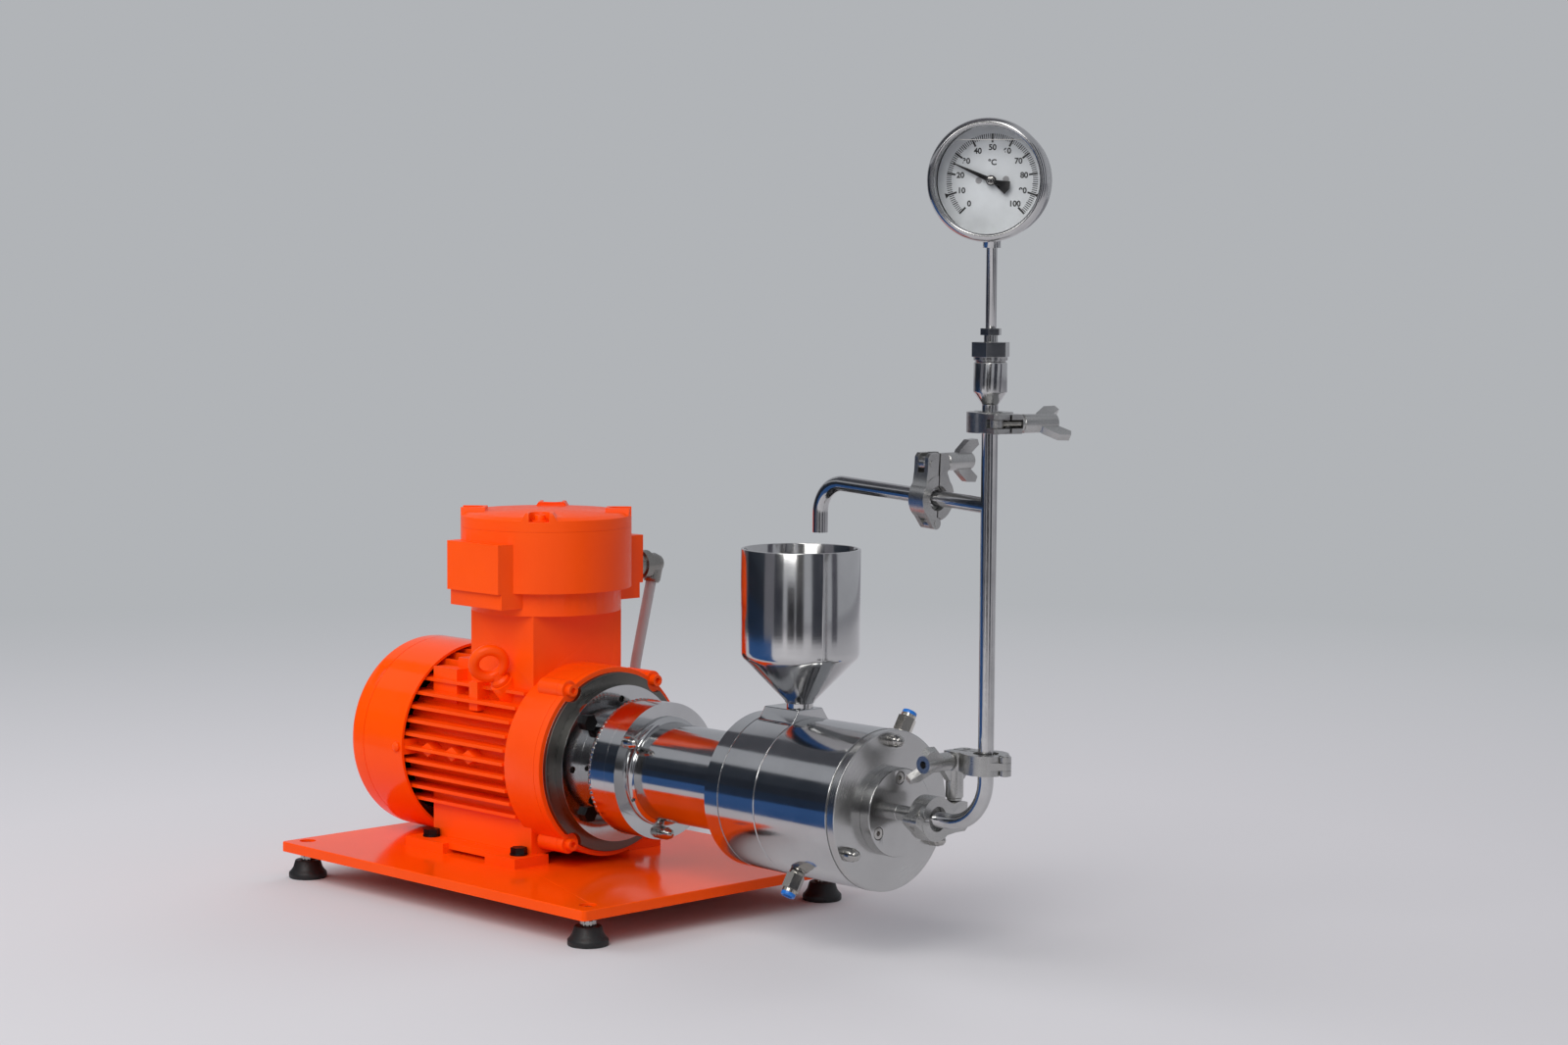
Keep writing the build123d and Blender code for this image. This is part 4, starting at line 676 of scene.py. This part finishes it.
# swing bolts: each clamp's centre, pipe direction and ear direction; the pivot lies out along the ear,
# and two wing nuts stand turned on their bolts
arm = {"rise": math.radians(3.2), "out": 62.0, "z": 380.8}
armWay = (-math.cos(arm["rise"]), 0, math.sin(arm["rise"]))
armEar = (math.sin(arm["rise"]), 0, math.cos(arm["rise"]))
topEar = math.radians(-21)
clampBolt = {
    "pivot": (28.0, -8.5),
    "eye": (5.2, 3.3, 2.05),   # outer radius, half width, bore radius
    "chamfer": 0.5,
    "rod": (3.0, 35.0, 1.0),   # radius, length, pitch
    "rodStart": 3.0,
    "nutTurn": {"riser": math.radians(52), "top": math.radians(38)},
    "clamps": {
        "outlet": ((276.7, 0, axisHigh), (1, 0, 0), (0, 1, 0)),
        "riser": ((riserX, 0, 176.5), (0, 0, 1), (-1, 0, 0)),
        "arm": ((riserX + arm["out"] * armWay[0], 0, arm["z"] + arm["out"] * armWay[2]), armWay, armEar),
        "top": ((riserX, 0, 447.0), (0, 0, 1), (math.cos(topEar), math.sin(topEar), 0)),
    },
}
outer, half, bore = clampBolt["eye"]
chamfer = clampBolt["chamfer"]
eyeShape = [
    (-half, bore), (-half, outer - chamfer), (-half + chamfer, outer),
    (half - chamfer, outer), (half, outer - chamfer), (half, bore),
]
for clamp, (centre, pipe, earWay) in clampBolt["clamps"].items():
    pipe, earWay, centre = np.array(pipe, float), np.array(earWay, float), np.array(centre, float)
    boltWay = np.cross(pipe, earWay)
    pivot = centre + earWay * clampBolt["pivot"][0] + boltWay * clampBolt["pivot"][1]
    body = clamp + "_bolt"
    boltNode = clamp + "_swing_bolt"
    rest = {"wrapRows": True, "stands": (boltNode,)}
    lathe(clamp + "BoltEye", pivot, pipe, eyeShape, clampSteel, body, slotOf[boltNode], **rest)
    rodFrom = pivot + boltWay * clampBolt["rodStart"]
    radius, reach, pitch = clampBolt["rod"]
    rodName = clamp + "BoltRod"
    threadPiece(rodName, rodFrom, boltWay, radius, reach, pitch, brightNut, body, slotOf[boltNode], sharp=35)
    if clamp in clampBolt["nutTurn"]:
        pivotAt = Vector(pivot * milli)
        spinNut = Matrix.Rotation(clampBolt["nutTurn"][clamp], 4, Vector(boltWay))
        aboutBolt = Matrix.Translation(pivotAt) @ spinNut @ Matrix.Translation(-pivotAt)
        made[clamp + "_wing_nut"].data.transform(aboutBolt)
print("bolts done")

# thermometer: printed face, a painted highlight along the liquid level with painted shade under it, bezel and
# pointer hub, in mm from the dial's middle
gauge = {
    "centre": (riserX, 0, 635.5),
    "heading": math.radians(-59.6),
    "face": 2.0,
    "print": 0.05,
    "sweep": 270.0,
    "majorTick": (29.5, 36.4, 0.75),       # inner radius, outer radius, half width
    "middleTick": (32.0, 36.4, 0.42),
    "minorTick": (32.4, 36.4, 0.32),
    "wedge": (35.0, 39.0, 2.2),
    "wedgesAt": (10, 90),
    "dots": [(-10.7, 0.0), (11.0, 1.0)],
    "dotRadius": 2.6,
    "dotSteps": 40,
    "numbers": (25.6, 6.2),                # radius and letter height
    "unit": (14.0, 6.2),
    "bold": 0.22,
    "levelLine": (31.0, 25.5, 0.3, 16.0),     # painted highlight line at the liquid level: height, half width, line's height, place ahead of the dial
    # thickness of the painted highlight strip, then of the painted shade strip under it
    "levelPaintThick": (0.3, 0.2),
    "bezel": [
        (17, 43.6), (17, 47.0), (17.4, 47.6), (18.2, 48.0), (19.4, 48.0), (21.5, 47.6), (23.2, 46.7),
        (24.4, 45.3), (25.0, 44.0), (24.9, 42.9), (24.2, 42.1), (22.8, 41.6), (21.5, 41.5), (21.5, 43.6),
    ],
    "bezelSteps": 192,
    "hub": [(5.2, 0), (5.2, 3.3), (7.4, 3.3), (7.9, 2.9), (8.1, 2.2), (8.1, 0)],
    "cross": (2.2, 0.35),                  # half length and half width of each bar
    "crossTurn": math.radians(40),
    "crossAt": 8.08,
    "crossThick": 0.06,
}
gaugeCentre = Vector(gauge["centre"])
gaugeOut = Vector((math.cos(gauge["heading"]), math.sin(gauge["heading"]), 0))
gaugeSide = -gaugeOut.cross(upright)
face = (gaugeSide, upright, gaugeCentre + gaugeOut * gauge["face"])
dialSlot = slotOf["gauge_pointer"]


def dialAngle(temperature):
    # from straight up, clockwise
    return np.radians(gauge["sweep"] * (np.array(temperature, float) / 100 - 0.5))


def aroundDial(angle, along, wide):
    # an outline of (along, wide) points, turned to each angle
    x = along * np.sin(angle) + wide * np.cos(angle)
    y = along * np.cos(angle) - wide * np.sin(angle)
    return np.stack([x, y], axis=-1)[:, ::-1]


scale = np.arange(0, 101)
for name, chosen, (inner, outer, half) in (
    ("dialMajor", scale[scale % 10 == 0], gauge["majorTick"]),
    ("dialMiddle", scale[scale % 10 == 5], gauge["middleTick"]),
    ("dialMinor", scale[scale % 5 != 0], gauge["minorTick"]),
):
    along = np.array([inner, outer, outer, inner])
    wide = np.array([-1, -1, 1, 1]) * half
    ticks = aroundDial(dialAngle(chosen)[:, None], along, wide)
    thinPlates(name, *face, ticks, gauge["print"], dialBlack, "frame", dialSlot)
inner, outer, half = gauge["wedge"]
along, wide = np.array([inner, outer, outer]), np.array([0.0, -half, half])
wedges = aroundDial(dialAngle(gauge["wedgesAt"])[:, None], along, wide)
thinPlates("dialWedges", *face, wedges, gauge["print"], dialBlack, "frame", dialSlot)
circle = fullCircle(gauge["dotSteps"])
dot = np.stack([np.cos(circle), np.sin(circle)], axis=-1) * gauge["dotRadius"]
dots = dot[None] + np.array(gauge["dots"])[:, None]
thinPlates("dialDots", *face, dots, gauge["print"], dialGrey, "frame", dialSlot)
ringRadius, tall = gauge["numbers"]
marks = []
for temperature in range(0, 101, 10):
    angle = dialAngle(temperature)
    marks.append((str(temperature), ringRadius * math.sin(angle), ringRadius * math.cos(angle)))
ink = (gauge["bold"], gauge["print"], dialBlack, "frame", dialSlot)
lettering("dialNumbers", marks, *face, tall, *ink)
unitHigh, tall = gauge["unit"]
lettering("dialUnit", [("°C", 0, unitHigh)], *face, tall, *ink)
# the liquid level's bright line is a white strip, a painted highlight, with a grey strip under it as painted
# shade
level, reach, tall, ahead = gauge["levelLine"]
highlightStrip = np.array([[(-reach, level), (reach, level), (reach, level + tall), (-reach, level + tall)]])
levelLine = (gaugeSide, upright, gaugeCentre + gaugeOut * ahead)
highlightThick, paintedShadeThick = gauge["levelPaintThick"]
thinPlates("levelHighlight", *levelLine, highlightStrip, highlightThick, whitePolymer, "frame", slotOf["gauge_dial"])
thinPlates("levelPaintedShade", *levelLine, highlightStrip - (0, tall), paintedShadeThick, dialGrey, "frame", slotOf["gauge_dial"])
rest = {"steps": gauge["bezelSteps"], "wrapRows": True, "sharp": 40, "stands": ("gauge_bezel",)}
lathe("bezelRing", gaugeCentre, gaugeOut, gauge["bezel"], pipeSteel, "frame", slotOf["gauge_bezel"], **rest)
lathe("pointerHub", gaugeCentre, gaugeOut, gauge["hub"], brightNut, "pointer", dialSlot)
# the hub screw's recessed cross slot drawn as a thin black cross on its face: painted shade in the slot
half, thin = gauge["cross"]
bar = np.array([(-half, -thin), (half, -thin), (half, thin), (-half, thin)])
cosine, sine = math.cos(gauge["crossTurn"]), math.sin(gauge["crossTurn"])
turnBar = np.array([(cosine, sine), (-sine, cosine)])
quarter = np.array([(0, 1), (-1, 0)])
bars = [bar @ turnBar, bar @ quarter @ turnBar]
cross = (gaugeSide, upright, gaugeCentre + gaugeOut * gauge["crossAt"])
thinPlates("pointerSlotShade", *cross, bars, gauge["crossThick"], dialBlack, "pointer", dialSlot)
print("gauge done")

# table and backdrop in one: past the machine the floor turns into the backdrop's colour for the camera alone
backdrop = {
    "colour": (0.44, 0.455, 0.475),
    "floor": (0.62, 0.61, 0.63),
    "floorRoughness": 0.9,
    "ambient": (0.42, 0.43, 0.46),
    "near": 0.8,
    "far": 2.6,
    "size": 14.0,
}


def cameraBlend(owner, share, common, seenByCamera, output):
    # the common shader, with the other mixed in by the share
    blend = addNode(owner, "ShaderNodeMixShader")
    wire(owner, share, blend.inputs["Fac"])
    wire(owner, common, blend.inputs[1])
    wire(owner, seenByCamera, blend.inputs[2])
    wire(owner, blend.outputs[0], owner.node_tree.nodes[output].inputs["Surface"])


half = backdrop["size"]
floorMesh = bpy.data.meshes.new("tableTop")
floorCorners = [(-half, -half, 0), (half, -half, 0), (half, half, 0), (-half, half, 0)]
floorMesh.from_pydata(floorCorners, [], [(0, 1, 2, 3)])
floor = addObject("tableTop", floorMesh)
rough = backdrop["floorRoughness"]
paleFloor = newMaterial("paleFloor", backdrop["floor"], 0.0, rough, Specular_IOR_Level=0.0)
floorMesh.materials.append(paleFloor)
distance = addNode(paleFloor, "ShaderNodeVectorMath", operation="LENGTH")
wire(paleFloor, objectSpace(paleFloor), distance.inputs[0])
fade = spread(paleFloor, distance.outputs["Value"], 0.0, 1.0, backdrop["near"], backdrop["far"])
rays = addNode(paleFloor, "ShaderNodeLightPath")
seen = addNode(paleFloor, "ShaderNodeMath", operation="MULTIPLY")
wire(paleFloor, rays.outputs["Is Camera Ray"], seen.inputs[0])
wire(paleFloor, fade, seen.inputs[1])
glow = addNode(paleFloor, "ShaderNodeEmission")
glow.inputs["Color"].default_value = (*backdrop["colour"], 1)
diffuse = paleFloor.node_tree.nodes["Principled BSDF"]
cameraBlend(paleFloor, seen.outputs[0], diffuse.outputs[0], glow.outputs[0], "Material Output")

world = bpy.data.worlds.new("studio")
bpy.context.scene.world = world
world.use_nodes = True
ambient = world.node_tree.nodes["Background"]
ambient.inputs["Color"].default_value = (*backdrop["ambient"], 1)
behind = addNode(world, "ShaderNodeBackground")
behind.inputs["Color"].default_value = (*backdrop["colour"], 1)
worldRays = addNode(world, "ShaderNodeLightPath").outputs["Is Camera Ray"]
cameraBlend(world, worldRays, ambient.outputs[0], behind.outputs[0], "World Output")

# flags round the camera's side, as in a studio for chrome: only reflections see them
flags = {
    "distance": 2.3,
    "roughness": 0.9,
    "panels": [                # degrees round the room from +X, width in degrees, low, high, colour
        (-140, 50, 0.0, 0.35, (0.012, 0.03, 0.065)),
        (-140, 50, 0.35, 0.7, (0.015, 0.022, 0.035)),
        (-140, 50, 0.7, 1.2, (0.03, 0.04, 0.055)),
        (-104, 22, 0.0, 1.2, (0.24, 0.24, 0.26)),
        (-84, 18, 0.0, 1.2, (0.05, 0.055, 0.07)),
        (-118, 130, 1.2, 2.9, (0.12, 0.125, 0.14)),
        (-174, 18, 0.0, 1.2, (0.1, 0.1, 0.11)),
        (-60, 14, 0.0, 0.75, (0.02, 0.02, 0.025)),
        (-44, 14, 0.0, 1.6, (0.03, 0.03, 0.035)),
        (-12, 20, 0.0, 2.2, (0.05, 0.055, 0.07)),
        (22, 12, 0.0, 2.2, (0.1, 0.1, 0.12)),
    ],
    "edge": [(-2.1, -0.66, 0.001), (0.1, -0.26, 0.001), (-0.3, -2.3, 0.001), (-2.1, -2.3, 0.001)],
    "beyond": (0.01, 0.075, 0.24),
    "ceiling": [(-2.6, -2.2, 2.9), (0.6, -2.2, 2.9), (0.6, 1.0, 2.9), (-2.6, 1.0, 2.9)],
    "overhead": (0.2, 0.2, 0.22),
}


def flagPanel(name, corners, colour):
    mesh = bpy.data.meshes.new(name)
    mesh.from_pydata(corners, [], [(0, 1, 2, 3)])
    mesh.materials.append(newMaterial(name, colour, 0.0, flags["roughness"]))
    panel = addObject(name, mesh)
    for ray in ("camera", "diffuse", "shadow", "transmission"):
        setattr(panel, "visible_" + ray, False)


for k, (heading, width, low, high, colour) in enumerate(flags["panels"]):
    edges = [math.radians(heading - width / 2), math.radians(heading + width / 2)]
    left, right = [(flags["distance"] * math.cos(a), flags["distance"] * math.sin(a)) for a in edges]
    flagPanel(f"flag{k}", [(*left, low), (*right, low), (*right, high), (*left, high)], colour)
flagPanel("beyondTable", flags["edge"], flags["beyond"])     # the table ends close before the machine
flagPanel("ceilingFlag", flags["ceiling"], flags["overhead"])

# soft boxes: place, aim, side, watts, colour and whether reflections see them
lamps = {
    "keyBox": ((1.2, -2.6, 2.6), (0, 0, 0.2), 2.6, 86, (1.0, 0.98, 0.95), True),
    "fillBox": ((-2.6, -1.6, 1.9), (-0.1, 0, 0.2), 2.2, 34, (0.98, 0.98, 1.0), False),
    "backBox": ((-0.8, 2.6, 2.4), (0, 0, 0.3), 2.2, 26, (1.0, 1.0, 1.0), False),
}
for name, (place, aim, side, watts, colour, shine) in lamps.items():
    light = bpy.data.lights.new(name, "AREA")
    light.size = side
    light.energy = watts
    light.color = colour
    lamp = addObject(name, light)
    lamp.location = place
    lamp.visible_glossy = shine
    lamp.rotation_euler = (Vector(aim) - Vector(place)).to_track_quat("-Z", "Y").to_euler()
bpy.context.scene.view_settings.view_transform = "Standard"
print("light and backdrop done")
